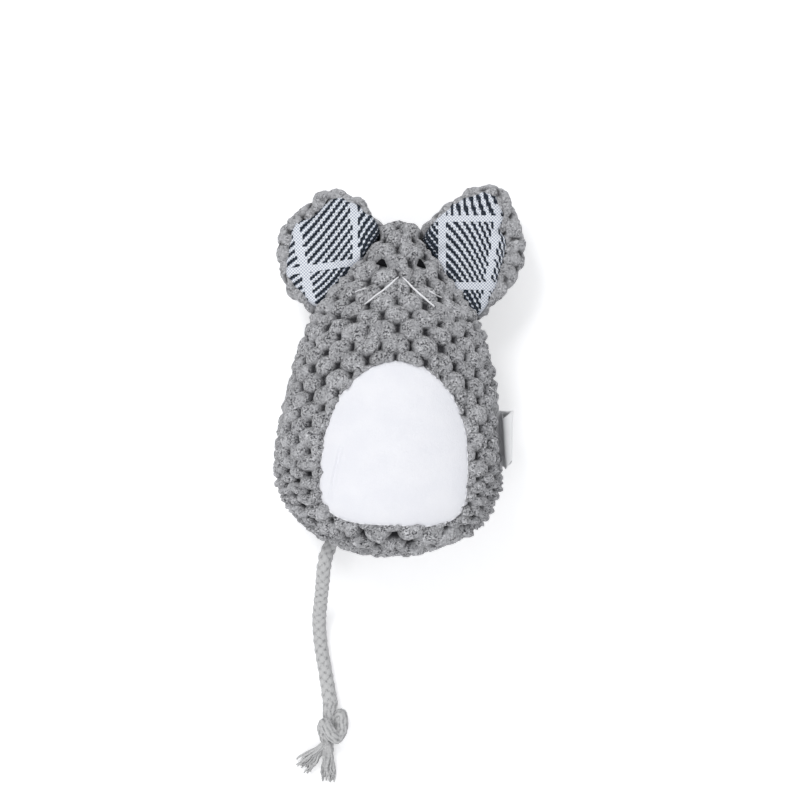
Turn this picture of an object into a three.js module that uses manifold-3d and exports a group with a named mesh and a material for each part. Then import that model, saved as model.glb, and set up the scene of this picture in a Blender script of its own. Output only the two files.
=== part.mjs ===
// Stuffed mouse cat toy, lying on its back with the belly up
// Millimetres, +Z up, +Y from the tail end to the nose, +X to the right seen from above
// The origin is on the ground under the middle of the flat place on the back

import * as THREE from 'three';
import { mergeVertices } from 'three/addons/utils/BufferGeometryUtils.js';
import Module from 'manifold-3d';

const wasm = await Module();
wasm.setup();

// Body: sizes along are measured from its tail end, and sizes back from the tip of its nose
const bodyLength = 113.5;
const bodyWidth = 77.2;
const bellyHeight = 28;
const backDepth = 19;
const seatLength = 29;
const flankLead = 13;
const cheekLead = 9;
const cheekBack = 32;
const cheekWidth = 54.6;
const noseBack = 8;
const noseWidth = 20.8;
const noseLead = 5.5;
const noseTipLead = 6;
const restAlong = 42;
const restCut = 0.5;

// How full the body is: 2 is round, more is squarer
const frontRoundShare = 2.1;
const backRoundShare = 2.5;
const frontFullShare = 1.25;
const backFullShare = 2;

// Plush puffs: rows and columns of the flat cloth, with a puff at every other crossing
const puffColumn = 5.1;
const puffRow = 5.15;
const puffHeight = 2;
const puffSink = 1.6;
const puffFullShare = 2.6;
const puffSeamFade = 3.5;
const puffGapBack = 27.5;
const puffBowShare = 1.5;
const puffBowMostShare = 1.2;
const puffSkew = THREE.MathUtils.degToRad(-2);

// Cloths, threads and the gap that is left between two pieces
const plushThickness = 3.5;
const velourThickness = 1.2;
const velourInset = 0.8;
const threadRadius = 0.3;
const gap = 0.3;
const overrun = 5;

// Belly patch: an egg with a squarer lower end
const patchWidth = 51;
const patchTop = 37.4;
const patchBottom = 19.3;
const patchAlong = 28.7;
const patchShift = 2.1;
const patchTopRoundShare = 2;
const patchBottomRoundShare = 3;
const patchStitchInset = 1.4;
const patchStitchOpening = 1.5;

// Filling and the sachet inside it
const headFillingBack = 29.5;
const sachetLength = 34;
const sachetWidth = 26;
const sachetThickness = 7;
const sachetAlong = 46;
const sachetSquareShare = 0.67;

// Seam: the machine sewn run leaves a gap that is closed by hand
const seamSteps = 72;
const closingStartShare = 0.16;
const closingEndShare = 0.24;
const seamBreakShare = 0.0015;

// Ears: span is along the base, reach is from the base outwards
const earSpan = 40;
const earReaches = { left: 27, right: 31 };
const earBaseBack = 17.9;
const earBaseClearance = 0.6;
const earBackPuff = 4.2;
const earFrontPuff = 5;
const earRimRoll = 1.8;
const earPlushThickness = 2.4;
const earFabricThickness = 0.8;
const earRootTaper = 6;
const earRootShare = 0.25;
const earCentreAcrossShare = -0.08;
const earCentreOutShare = 0.46;
const earFabricShare = 0.85;
const earWaddingShare = 0.8;
const earBackShares = [0.3, 0.58, 0.8, 0.94];
const earRimShares = [1, 0.96, 0.9];
const earRimHeightShares = [0.25, 1, 1];
const earBowlShares = [0.84, 0.6, 0.3];
const earWaddingShares = [0.4, 0.75];
const earWaddingEdgeShare = 0.33;
const earFrontShares = [0.35, 0.65, 0.85];
const earTabLength = 26;
const earTabDepth = 8;
const earTabThickness = 1.8;

// Ear outline, in shares of half the span and of the reach, from the nose side round to the flank side
const earOutlineShares = [
  [-0.86, 0],
  [-1.06, 0.2],
  [-1.09, 0.46],
  [-1.02, 0.72],
  [-0.83, 0.91],
  [-0.48, 0.99],
  [-0.08, 1],
  [0.26, 0.94],
  [0.55, 0.8],
  [0.77, 0.59],
  [0.88, 0.36],
  [0.9, 0.14],
  [0.84, 0],
];

// Face: across is from the middle line
const eyeAcross = 6.85;
const eyeBack = 14.3;
const eyeWidth = 2.9;
const eyeHeight = 2.5;
const eyeThickness = 0.8;
const eyeCornerShares = [
  [-0.5, -0.5],
  [0.5, -0.5],
  [0.17, 0.5],
];
const eyeTopShare = 0.67;
const longWhisker = { fromAcross: 1.5, fromBack: 18.4, toAcross: 11.9, toBack: 28.3 };
const shortWhisker = { fromAcross: 10.3, fromBack: 23.3, toAcross: 14.9, toBack: 25.1 };

// Label: a folded ribbon that stands out of the right side seam
const labelAlong = 41;
const labelWidth = 19;
const labelOut = 5.6;
const labelThickness = 0.3;
const labelOpening = 0.6;

// Tail: a cotton rope with a knot and a frayed end
const ropeRadius = 2.45;
const tailAcross = -18;
const tailTurn = THREE.MathUtils.degToRad(20);
const pivotOut = 2;
const anchorDepth = 13;
const tackDepth = 7;
const knotLength = 12.4;
const knotWidth = 9.6;
const knotHeight = 9.2;
const knotShift = 1.5;
const knotTurnRadius = 2.3;
const knotTurnStretchShare = 1.15;
const knotSlant = THREE.MathUtils.degToRad(-38);
const tuftRootWidth = 3.2;
const tuftHeight = 3.4;
const tuftSpread = 3.6;
const tufts = {
  left: { length: 9.2, tipWidth: 6.4, turn: THREE.MathUtils.degToRad(-32) },
  right: { length: 10.8, tipWidth: 4.8, turn: THREE.MathUtils.degToRad(4) },
};

// Rope inside the knot: along its length, across and up, then its half width and half height,
// in shares of the knot's length, width, height, half width and half height
const knotCoreShares = [
  { along: 0, across: 0, up: 0, wide: 0.5, high: 0.52 },
  { along: 0.25, across: 0.03, up: 0.2, wide: 0.68, high: 0.78 },
  { along: 0.52, across: -0.03, up: 0.23, wide: 0.74, high: 0.95 },
  { along: 0.84, across: -0.19, up: 0.06, wide: 0.66, high: 0.68 },
  { along: 1, across: -0.19, up: -0.02, wide: 0.62, high: 0.48 },
];

// Tuft from the knot to its tip, in shares of its length, width and height
const tuftShares = [
  { along: 0, wide: 0, high: 0.9 },
  { along: 0.32, wide: 0.3, high: 1 },
  { along: 0.66, wide: 0.75, high: 0.9 },
  { along: 1, wide: 1, high: 0.6 },
];

// Rope route from the body to the knot, on the ground from its middle on
const tailRoute = [
  new THREE.Vector3(-19.62, -43.11, 18.5),
  new THREE.Vector3(-20.05, -45, 18.35),
  new THREE.Vector3(-20.35, -47.5, 17.7),
  new THREE.Vector3(-20.5, -50.5, 16.2),
  new THREE.Vector3(-20.6, -53.5, 14),
  new THREE.Vector3(-20.8, -56.5, 11.4),
  new THREE.Vector3(-21, -59.5, 8.8),
  new THREE.Vector3(-21.2, -62.5, 6.5),
  new THREE.Vector3(-21.3, -65.5, 4.7),
  new THREE.Vector3(-21.2, -68.5, 3.5),
  new THREE.Vector3(-20.8, -72, 2.75),
  new THREE.Vector3(-20.2, -76, 2.5),
  new THREE.Vector3(-19.3, -80, 2.5),
  new THREE.Vector3(-18.4, -84, 2.5),
  new THREE.Vector3(-17.5, -88, 2.5),
  new THREE.Vector3(-16.7, -92, 2.5),
  new THREE.Vector3(-15.95, -95.6, 2.5),
];

// Facets
const bodyRows = 24;
const bodySides = 40;
const innerRows = 16;
const innerSides = 28;
const widthRows = 96;
const clothSteps = 2;
const sectionSteps = 48;
const earArcSides = 18;
const earBaseSides = 4;
const ropeSides = 10;
const ropeSteps = 14;
const knotTurnSteps = 16;
const threadSides = 6;
const whiskerSteps = 6;
const leastSeamSteps = 4;
const endSteps = 4;
const patchSides = 40;
const labelSides = 5;
const sachetSides = 20;
const sachetRows = 12;

// Sizes that follow from those above
const bodyHalf = bodyWidth / 2;
const seamHeight = backDepth - restCut;
const far = 2 * bodyLength;
const cheekAlong = bodyLength - cheekBack;
const noseAlong = bodyLength - noseBack;
const eyeAlong = bodyLength - eyeBack;
const earBaseAlong = bodyLength - earBaseBack;
const cheekLine = new THREE.Vector2((cheekWidth - noseWidth) / 2, noseAlong - cheekAlong);
const cheekAngle = Math.atan2(cheekLine.y, cheekLine.x);

function cloth(red, green, blue, roughness) {
  const color = new THREE.Color().setRGB(red, green, blue, THREE.SRGBColorSpace);
  return new THREE.MeshStandardMaterial({ color, roughness, metalness: 0 });
}

const greyPlush = cloth(0.6, 0.6, 0.62, 0.95);
const whiteVelour = cloth(0.94, 0.94, 0.96, 0.9);
const checkFabric = cloth(0.6, 0.62, 0.67, 0.85);
const whiteFibre = cloth(0.93, 0.93, 0.92, 1);
const whiteThread = cloth(0.95, 0.95, 0.94, 0.6);
const greyThread = cloth(0.5, 0.5, 0.52, 0.7);
const blackThread = cloth(0.03, 0.03, 0.035, 0.5);
const whiteSatin = cloth(0.92, 0.92, 0.92, 0.4);
const greyRope = cloth(0.74, 0.74, 0.74, 0.95);
const sachetCloth = cloth(0.72, 0.74, 0.6, 0.95);

// A closed skin from points and faces, turned to face outwards
function closedSkin(points, faces) {
  let volume = 0;
  for (const [a, b, c] of faces) {
    volume += points[a].dot(points[b].clone().cross(points[c]));
  }
  const turned = volume < 0 ? faces.map(([a, b, c]) => [a, c, b]) : faces;
  const geometry = new THREE.BufferGeometry();
  geometry.setFromPoints(points);
  geometry.setIndex(turned.flat());
  return geometry;
}

// A closed skin over rings of points, drawn to a point at each end
function loft(rings, first, last) {
  const sides = rings[0].length;
  const points = [first, ...rings.flat(), last];
  const faces = [];
  const corner = (ring, side) => 1 + ring * sides + (side % sides);
  for (let side = 0; side < sides; side += 1) {
    faces.push([0, corner(0, side + 1), corner(0, side)]);
    for (let ring = 0; ring < rings.length - 1; ring += 1) {
      faces.push([corner(ring, side), corner(ring, side + 1), corner(ring + 1, side)]);
      faces.push([corner(ring, side + 1), corner(ring + 1, side + 1), corner(ring + 1, side)]);
    }
    const end = rings.length - 1;
    faces.push([points.length - 1, corner(end, side), corner(end, side + 1)]);
  }
  return closedSkin(points, faces);
}

// A three.js geometry as a solid for joins and cuts
function solid(geometry) {
  const bare = geometry.clone();
  bare.deleteAttribute('normal');
  bare.deleteAttribute('uv');
  const merged = mergeVertices(bare);
  const vertProperties = new Float32Array(merged.attributes.position.array);
  const triVerts = new Uint32Array(merged.index.array);
  return new wasm.Manifold(new wasm.Mesh({ numProp: 3, vertProperties, triVerts }));
}

// A solid back as a three.js geometry
function skin(body) {
  const result = body.getMesh();
  const geometry = new THREE.BufferGeometry();
  geometry.setAttribute('position', new THREE.BufferAttribute(result.vertProperties, 3));
  geometry.setIndex(new THREE.BufferAttribute(result.triVerts, 1));
  return geometry;
}

// A box between two corners as a solid
function block(low, high) {
  const size = high.clone().sub(low);
  const centre = low.clone().add(high).multiplyScalar(1 / 2);
  const box = new THREE.BoxGeometry(size.x, size.y, size.z);
  return solid(box.translate(centre.x, centre.y, centre.z));
}

// All the room above or below a height
function roomAbove(height) {
  return block(new THREE.Vector3(-far, -far, height), new THREE.Vector3(far, far, height + far));
}

function roomBelow(height) {
  return block(new THREE.Vector3(-far, -far, height - far), new THREE.Vector3(far, far, height));
}

// Faces between two rows of points and across the flat between their ends
function strip(points, low, high) {
  const faces = [[low.at(-1), low[0], high[0]], [low.at(-1), high[0], high.at(-1)]];
  let here = 0;
  let there = 0;
  while (here < low.length - 1 || there < high.length - 1) {
    const first = here < low.length - 1 ? points[low[here + 1]].distanceTo(points[high[there]]) : far;
    const second = there < high.length - 1 ? points[low[here]].distanceTo(points[high[there + 1]]) : far;
    if (first <= second) {
      faces.push([low[here], low[here + 1], high[there]]);
      here += 1;
    } else {
      faces.push([low[here], high[there + 1], high[there]]);
      there += 1;
    }
  }
  return faces;
}

// A round tube along a curve with flat ends
function tube(curve, radius, sides, steps) {
  const section = new THREE.Shape();
  for (let side = 0; side < sides; side += 1) {
    const angle = ((side + 1 / 2) / sides) * 2 * Math.PI;
    const method = side === 0 ? 'moveTo' : 'lineTo';
    section[method](radius * Math.cos(angle), radius * Math.sin(angle));
  }
  section.closePath();
  return new THREE.ExtrudeGeometry(section, { extrudePath: curve, steps });
}

// Half outline of the body seen from above, as distance across and along
function bodyOutline() {
  const cheek = new THREE.Vector2(cheekWidth / 2, cheekAlong);
  const nose = new THREE.Vector2(noseWidth / 2, noseAlong);
  const along = nose.clone().sub(cheek).normalize();
  const intoCheek = cheek.clone().addScaledVector(along, -cheekLead);
  const outOfNose = nose.clone().addScaledVector(along, noseLead);
  const path = new THREE.Path();
  path.absellipse(0, seatLength, bodyHalf, seatLength, -Math.PI / 2, 0, false, 0);
  path.bezierCurveTo(bodyHalf, seatLength + flankLead, intoCheek.x, intoCheek.y, cheek.x, cheek.y);
  path.lineTo(nose.x, nose.y);
  path.bezierCurveTo(outOfNose.x, outOfNose.y, noseTipLead, bodyLength, 0, bodyLength);
  return path;
}

// The half outline moved inwards by an inset, as points from the tail end to the nose
function outlineRows(inset, rows) {
  const path = bodyOutline();
  return Array.from({ length: rows + 1 }, (_, row) => {
    const share = row / rows;
    const point = path.getPointAt(share);
    const way = path.getTangentAt(share);
    if (row === 0) {
      return new THREE.Vector2(0, inset);
    }
    if (row === rows) {
      return new THREE.Vector2(0, bodyLength - inset);
    }
    return new THREE.Vector2(point.x - inset * way.y, point.y + inset * way.x);
  });
}

// Height of the body over the side seam at its middle line, for a share of the full width
function fullness(widthShare, fullShare) {
  return 1 - (1 - Math.min(1, widthShare)) ** fullShare;
}

// One point of the cross section, from a circle to the squarer shape of the body
function sectionPoint(angle, half, up, down) {
  const rising = Math.sin(angle) >= 0;
  const power = 2 / (rising ? frontRoundShare : backRoundShare);
  const across = Math.sign(Math.cos(angle)) * Math.abs(Math.cos(angle)) ** power * half;
  const height = Math.abs(Math.sin(angle)) ** power * (rising ? up : -down);
  return [across, height];
}

// The whole stuffed body, moved inwards by an inset
function bodyForm(inset, rows, sides) {
  const line = outlineRows(inset, rows);
  const full = bodyHalf - inset;
  const rings = line.slice(1, -1).map((point) => {
    const up = (bellyHeight - inset) * fullness(point.x / full, frontFullShare);
    const down = (backDepth - inset) * fullness(point.x / full, backFullShare);
    return Array.from({ length: sides }, (_, side) => {
      const [across, height] = sectionPoint((side / sides) * 2 * Math.PI, point.x, up, down);
      return new THREE.Vector3(across, point.y - restAlong, height);
    });
  });
  const first = new THREE.Vector3(0, line[0].y - restAlong, 0);
  const last = new THREE.Vector3(0, line[rows].y - restAlong, 0);
  return solid(loft(rings, first, last));
}

// How high one side of the body stands over the seam at its middle line
function middleHeight(side, half) {
  const full = side > 0 ? frontFullShare : backFullShare;
  return (side > 0 ? bellyHeight : backDepth) * fullness(half / bodyHalf, full);
}

// Height of the puffs over the level of the cloth, for a place on the flat cloth
function puffRelief(across, along) {
  const fromLine = (value) => 2 * Math.abs(value - Math.round(value));
  const column = across / puffColumn;
  const row = along / puffRow;
  const fall = Math.hypot(fromLine((column + row) / 2), fromLine((column - row) / 2)) / Math.SQRT2;
  return puffHeight * (1 - fall ** puffFullShare) - puffSink;
}

// Distances along a line of points, from its first point
function distances(points) {
  return points.reduce((sums, point, index) => {
    const step = index === 0 ? 0 : point.distanceTo(points[index - 1]);
    return [...sums, (sums.at(-1) ?? 0) + step];
  }, []);
}

// The place at a distance along a line of points
function placeAt(points, sums, distance) {
  const next = Math.max(1, sums.findIndex((sum) => sum >= distance));
  const share = (distance - sums[next - 1]) / (sums[next] - sums[next - 1]);
  return points[next - 1].clone().lerp(points[next], share);
}

// Whole steps from a start that keep half a step clear of both ends of a length
function stepsInside(start, step, length) {
  const first = Math.ceil((step / 2 - start) / step);
  const last = Math.floor((length - step / 2 - start) / step);
  return Array.from({ length: last - first + 1 }, (_, index) => start + (first + index) * step);
}

// Half of a cross section of one side of the body, from its middle line to the seam
function halfSection(side, half, along) {
  const height = middleHeight(side, half);
  return Array.from({ length: sectionSteps + 1 }, (_, step) => {
    const angle = side * (Math.PI / 2) * (1 - step / sectionSteps);
    const [across, up] = sectionPoint(angle, half, height, height);
    return new THREE.Vector3(across, along - restAlong, up);
  });
}

// One row of the puffed cloth across one side of the body, from seam to seam
// The cloth is cut flat, so its rows bow away from the end towards which the body narrows
function clothRow(side, place, fromEnd, row, growth) {
  const section = halfSection(side, place.x, place.y);
  const sums = distances(section);
  const width = sums.at(-1);
  const bow = (puffBowShare * THREE.MathUtils.clamp(growth, -puffBowMostShare, puffBowMostShare)) / width;
  const columns = stepsInside(0, puffColumn / clothSteps, width);
  const puffed = [...columns.map((column) => -column).reverse(), 0, ...columns].map((column) => {
    const point = placeAt(section, sums, Math.abs(column));
    const out = new THREE.Vector3(point.x / place.x ** 2, 0, point.z / place.z ** 2).normalize();
    const fade = THREE.MathUtils.smoothstep(Math.min(width - Math.abs(column), fromEnd), 0, puffSeamFade);
    const eye = side > 0 ? Math.hypot(point.x - eyeAcross, place.y - eyeAlong) : far;
    const clear = THREE.MathUtils.smoothstep(eye, eyeWidth / 2, 3 * eyeWidth / 2);
    const flat = new THREE.Vector2(
      bow === 0 ? column : Math.sin(bow * column) / bow,
      bow === 0 ? row : row - (1 - Math.cos(bow * column)) / bow,
    ).rotateAround(new THREE.Vector2(0, puffRow), puffSkew);
    point.addScaledVector(out, fade * clear * puffRelief(flat.x, flat.y));
    return new THREE.Vector3(Math.sign(column) * point.x, point.y, point.z);
  });
  const seam = section.at(-1);
  return [new THREE.Vector3(-seam.x, seam.y, seam.z), ...puffed, seam];
}

// One side of the stuffed body with its puffs, flat at the seam
function puffedHalf(side) {
  const middle = outlineRows(0, widthRows).map((point) => {
    return new THREE.Vector3(point.x, point.y, middleHeight(side, point.x));
  });
  const sums = distances(middle.map((point) => new THREE.Vector3(0, point.y, point.z)));
  const widthAt = (distance) => {
    const place = placeAt(middle, sums, distance);
    return distances(halfSection(side, place.x, place.y)).at(-1);
  };
  const step = puffRow / clothSteps;
  const next = middle.findIndex((point) => point.y >= bodyLength - puffGapBack);
  const share = (bodyLength - puffGapBack - middle[next - 1].y) / (middle[next].y - middle[next - 1].y);
  const gapRow = THREE.MathUtils.lerp(sums[next - 1], sums[next], share);
  const rows = stepsInside(gapRow, step, sums.at(-1)).map((distance) => {
    const fromEnd = Math.min(distance, sums.at(-1) - distance);
    const growth = (widthAt(distance + step / 2) - widthAt(distance - step / 2)) / step;
    const row = distance - gapRow + puffRow;
    return clothRow(side, placeAt(middle, sums, distance), fromEnd, row, growth);
  });
  const points = [new THREE.Vector3(0, -restAlong, 0)];
  const numbers = rows.map((row) => row.map((point) => points.push(point) - 1));
  const last = points.push(new THREE.Vector3(0, bodyLength - restAlong, 0)) - 1;
  const faces = [];
  const fan = (tip, row) => row.forEach((corner, index) => {
    faces.push([tip, corner, row[(index + 1) % row.length]]);
  });
  fan(0, [...numbers[0]].reverse());
  fan(last, numbers.at(-1));
  for (let index = 1; index < numbers.length; index += 1) {
    faces.push(...strip(points, numbers[index - 1], numbers[index]));
  }
  return solid(closedSkin(points, faces));
}

// Half width of the body at a place along it
function halfWidthAt(along) {
  const rows = outlineRows(0, widthRows);
  const next = Math.max(1, rows.findIndex((point) => point.y >= along));
  const share = (along - rows[next - 1].y) / (rows[next].y - rows[next - 1].y);
  return THREE.MathUtils.lerp(rows[next - 1].x, rows[next].x, share);
}

// A point on the front of the body, raised by a clearance
function onFront(across, along, clearance) {
  const half = halfWidthAt(along);
  const up = bellyHeight * fullness(half / bodyHalf, frontFullShare);
  const share = Math.min(1, Math.abs(across) / half);
  const height = up * (1 - share ** frontRoundShare) ** (1 / frontRoundShare);
  return new THREE.Vector3(across, along - restAlong, height + clearance);
}

// Outline of the belly patch seen from above, moved inwards by an inset
function patchOutline(inset, sides) {
  return Array.from({ length: sides }, (_, side) => {
    const angle = (side / sides) * 2 * Math.PI - Math.PI / 2;
    const rising = Math.sin(angle) >= 0;
    const power = 2 / (rising ? patchTopRoundShare : patchBottomRoundShare);
    const half = patchWidth / 2 - inset;
    const end = (rising ? patchTop : patchBottom) - inset;
    const across = Math.sign(Math.cos(angle)) * Math.abs(Math.cos(angle)) ** power * half;
    const along = Math.sign(Math.sin(angle)) * Math.abs(Math.sin(angle)) ** power * end;
    return new THREE.Vector2(patchShift + across, patchAlong + along);
  });
}

// An upright block with the outline of the belly patch
function patchBlock(inset) {
  const outline = patchOutline(inset, patchSides);
  const shape = new THREE.Shape(outline.map((point) => new THREE.Vector2(point.x, point.y - restAlong)));
  return solid(new THREE.ExtrudeGeometry(shape, { depth: bellyHeight + overrun, bevelEnabled: false }));
}

// The line of the side seam, all round the body from the tail end
function seamLine(inset) {
  const half = outlineRows(inset, bodyRows);
  const right = half.map((point) => new THREE.Vector3(point.x, point.y - restAlong, 0));
  const left = right.slice(1, -1).reverse().map((point) => new THREE.Vector3(-point.x, point.y, 0));
  return new THREE.CatmullRomCurve3([...right, ...left], true);
}

// A run of thread along part of the seam, which may pass the starting point
function seamRun(fromShare, toShare, radius) {
  const line = seamLine(plushThickness / 2);
  const steps = Math.max(leastSeamSteps, Math.round(seamSteps * (toShare - fromShare)));
  const points = Array.from({ length: steps + 1 }, (_, step) => {
    const share = fromShare + ((toShare - fromShare) * step) / steps;
    return line.getPointAt((share + 1) % 1);
  });
  return tube(new THREE.CatmullRomCurve3(points), radius, threadSides, steps);
}

// Thread that lies on the front of the body between two places
function faceThread(side, whisker) {
  const points = Array.from({ length: whiskerSteps + 1 }, (_, step) => {
    const share = step / whiskerSteps;
    const across = THREE.MathUtils.lerp(whisker.fromAcross, whisker.toAcross, share);
    const back = THREE.MathUtils.lerp(whisker.fromBack, whisker.toBack, share);
    return onFront(side * across, bodyLength - back, puffHeight - puffSink + gap + threadRadius);
  });
  return tube(new THREE.CatmullRomCurve3(points), threadRadius, threadSides, whiskerSteps);
}

// The stitched run round the belly patch, open by a stitch at its lower end
function patchStitch() {
  const outline = patchOutline(patchStitchInset, patchSides);
  const points = outline.map((point) => onFront(point.x, point.y, gap + threadRadius - velourInset));
  const opening = new THREE.Vector3(patchStitchOpening, 0, 0);
  const first = points[0].clone().add(opening);
  const last = points[0].clone().sub(opening);
  const curve = new THREE.CatmullRomCurve3([first, ...points.slice(1), last]);
  return tube(curve, threadRadius, threadSides, patchSides);
}

// A small pad with a three cornered outline that lies on the front of the body
function eyePad(side) {
  const middle = onFront(side * eyeAcross, eyeAlong, 0);
  const nearAcross = onFront(side * eyeAcross + eyeWidth / 2, eyeAlong, 0);
  const nearAlong = onFront(side * eyeAcross, eyeAlong + eyeHeight / 2, 0);
  const across = nearAcross.sub(middle).normalize();
  const out = across.clone().cross(nearAlong.sub(middle)).normalize();
  const along = out.clone().cross(across);
  const layer = (lift, share) => eyeCornerShares.map(([u, v]) => middle.clone()
    .addScaledVector(out, lift)
    .addScaledVector(across, side * u * share * eyeWidth)
    .addScaledVector(along, v * share * eyeHeight));
  const top = gap + eyeThickness;
  const rings = [layer(gap, 1), layer(gap + eyeThickness / 2, 1), layer(top, eyeTopShare)];
  const first = middle.clone().addScaledVector(out, gap);
  const last = middle.clone().addScaledVector(out, top);
  return loft(rings, first, last);
}

// Ear outline seen from the front, with x along the base and y out from it
function earOutline(side, reach) {
  const points = earOutlineShares.map(([across, out]) => {
    return new THREE.Vector2(side * across * (earSpan / 2), out * reach);
  });
  const arc = new THREE.SplineCurve(points).getSpacedPoints(earArcSides);
  const start = points[points.length - 1];
  const end = points[0];
  const base = Array.from({ length: earBaseSides - 1 }, (_, step) => {
    return start.clone().lerp(end, (step + 1) / earBaseSides);
  });
  return [...arc, ...base];
}

// One ring of an ear piece: the outline drawn in to a share, at a height that thins towards the base
function earRing(side, reach, share, height) {
  const across = side * earCentreAcrossShare * (earSpan / 2);
  const centre = new THREE.Vector2(across, earCentreOutShare * reach);
  return earOutline(side, reach).map((point) => {
    const place = centre.clone().lerp(point, share);
    const outShare = THREE.MathUtils.clamp(place.y / earRootTaper, 0, 1);
    const thinning = THREE.MathUtils.lerp(earRootShare, 1, outShare);
    return new THREE.Vector3(place.x, place.y, height * thinning);
  });
}

// Height of a dome over its rim, for a share of its half width
function dome(share) {
  return Math.sqrt(Math.max(0, 1 - share ** 2));
}

// An ear piece from rings given as [share of the outline, height], closed at its middle below and above
function earPiece(side, reach, below, rings, above) {
  const across = side * earCentreAcrossShare * (earSpan / 2);
  const first = new THREE.Vector3(across, earCentreOutShare * reach, below);
  const last = first.clone().setZ(above);
  return loft(rings.map(([share, height]) => earRing(side, reach, share, height)), first, last);
}

// Plush back of an ear: a shallow bowl with a rolled rim
function earPlush(side, reach) {
  const floor = earPlushThickness - earBackPuff;
  const outer = earBackShares.map((share) => [share, -earBackPuff * dome(share)]);
  const rim = earRimShares.map((share, index) => [share, earRimRoll * earRimHeightShares[index]]);
  const inner = earBowlShares.map((share) => [share, floor * dome(share)]);
  return earPiece(side, reach, -earBackPuff, [...outer, ...rim, ...inner], floor);
}

// Thin wadding between the two cloths of an ear
function earWadding(side, reach) {
  const floor = earPlushThickness - earBackPuff + gap;
  const ceiling = earFrontPuff - earFabricThickness - gap;
  const share = earWaddingShare;
  const lower = earWaddingShares.map((step) => [step * share, floor * dome(step * share)]);
  const edge = [[share, earRimRoll * earWaddingEdgeShare]];
  const upper = earWaddingShares.toReversed().map((step) => [step * share, ceiling * dome(step)]);
  return earPiece(side, reach, floor, [...lower, ...edge, ...upper], ceiling);
}

// Woven front of an ear: a thin domed sheet inside the rim
function earFabric(side, reach) {
  const under = earFrontPuff - earFabricThickness;
  const edge = earRimRoll + gap;
  const lower = earFrontShares.map((step) => {
    return [step * earFabricShare, edge + (under - edge) * dome(step)];
  });
  const rim = [[earFabricShare, edge]];
  const upper = [...rim, ...lower.toReversed()].map(([share, height]) => {
    return [share, height + earFabricThickness];
  });
  return earPiece(side, reach, under, [...lower, ...rim, ...upper], earFrontPuff);
}

// Where the middle of an ear's base lies, a clearance outside the cheek
function earPlace(side) {
  const share = (earBaseAlong - cheekAlong) / cheekLine.y;
  const across = cheekWidth / 2 - share * cheekLine.x + earBaseClearance * Math.sin(cheekAngle);
  const along = earBaseAlong + earBaseClearance * Math.cos(cheekAngle);
  return new THREE.Vector3(side * across, along - restAlong, 0);
}

// The sewn in edge of an ear, flat in the side seam
function earTab(side, clearance) {
  const outer = -earBaseClearance - gap - clearance;
  const long = earTabLength / 2 + clearance;
  const thick = earTabThickness / 2 + clearance;
  const low = new THREE.Vector3(-long, -earTabDepth - clearance, -thick);
  const high = new THREE.Vector3(long, outer + 2 * clearance, thick);
  const size = high.clone().sub(low);
  const centre = low.clone().add(high).multiplyScalar(1 / 2);
  const box = new THREE.BoxGeometry(size.x, size.y, size.z).translate(centre.x, centre.y, centre.z);
  box.rotateZ(-side * cheekAngle);
  const place = earPlace(side);
  return solid(box.translate(place.x, place.y, place.z));
}

// Label: a ribbon folded once, open towards the seam
function labelRibbon() {
  const thick = labelThickness + labelOpening / 2;
  const slot = labelOpening / 2;
  const shape = new THREE.Shape();
  shape.moveTo(0, -thick);
  shape.lineTo(labelOut - thick, -thick);
  shape.absarc(labelOut - thick, 0, thick, -Math.PI / 2, Math.PI / 2, false);
  shape.lineTo(0, thick);
  shape.lineTo(0, slot);
  shape.lineTo(labelOut - thick, slot);
  shape.absarc(labelOut - thick, 0, slot, Math.PI / 2, -Math.PI / 2, true);
  shape.lineTo(0, -slot);
  shape.closePath();
  const settings = { depth: labelWidth, bevelEnabled: false, curveSegments: labelSides };
  const ribbon = new THREE.ExtrudeGeometry(shape, settings);
  return ribbon.translate(0, 0, -labelWidth / 2).rotateX(Math.PI / 2);
}

// Where the tail leaves the body, in the seam, and the way that it points
const tailWay = new THREE.Vector3(-Math.sin(tailTurn), -Math.cos(tailTurn), 0);
const seatTurn = Math.asin(tailAcross / bodyHalf);
const tailExit = new THREE.Vector3(tailAcross, seatLength * (1 - Math.cos(seatTurn)) - restAlong, 0);
const tailPivot = tailExit.clone().addScaledVector(tailWay, pivotOut);

// Where the knot begins: a gap past the end of the rope's route
const ropeEndPoint = tailRoute[tailRoute.length - 1];
const ropeEndWay = ropeEndPoint.clone().sub(tailRoute[tailRoute.length - 2]).normalize();
const knotStart = ropeEndPoint.clone().addScaledVector(ropeEndWay, gap);

// Turns a piece made along +Y from the origin to the tail's way, from the pivot
function alongTail(geometry) {
  geometry.rotateZ(Math.PI - tailTurn);
  return geometry.translate(tailPivot.x, tailPivot.y, tailPivot.z);
}

// The rope end that is sewn into the body, rounded about the pivot where it comes out
function ropeEnd(radius, depth) {
  const profile = [new THREE.Vector2(0, -depth), new THREE.Vector2(radius, -depth)];
  for (let step = 0; step < endSteps; step += 1) {
    const angle = (step / endSteps) * (Math.PI / 2);
    profile.push(new THREE.Vector2(radius * Math.cos(angle), radius * Math.sin(angle)));
  }
  profile.push(new THREE.Vector2(0, radius));
  return alongTail(new THREE.LatheGeometry(profile, ropeSides));
}

// Thread wound round the rope end inside the body
function ropeTack(radius, wide) {
  const middle = ropeRadius + gap + threadRadius;
  const profile = [
    new THREE.Vector2(middle - radius, -tackDepth - wide),
    new THREE.Vector2(middle + radius, -tackDepth - wide),
    new THREE.Vector2(middle + radius, -tackDepth + wide),
    new THREE.Vector2(middle - radius, -tackDepth + wide),
    new THREE.Vector2(middle - radius, -tackDepth - wide),
  ];
  return alongTail(new THREE.LatheGeometry(profile, ropeSides));
}

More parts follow.
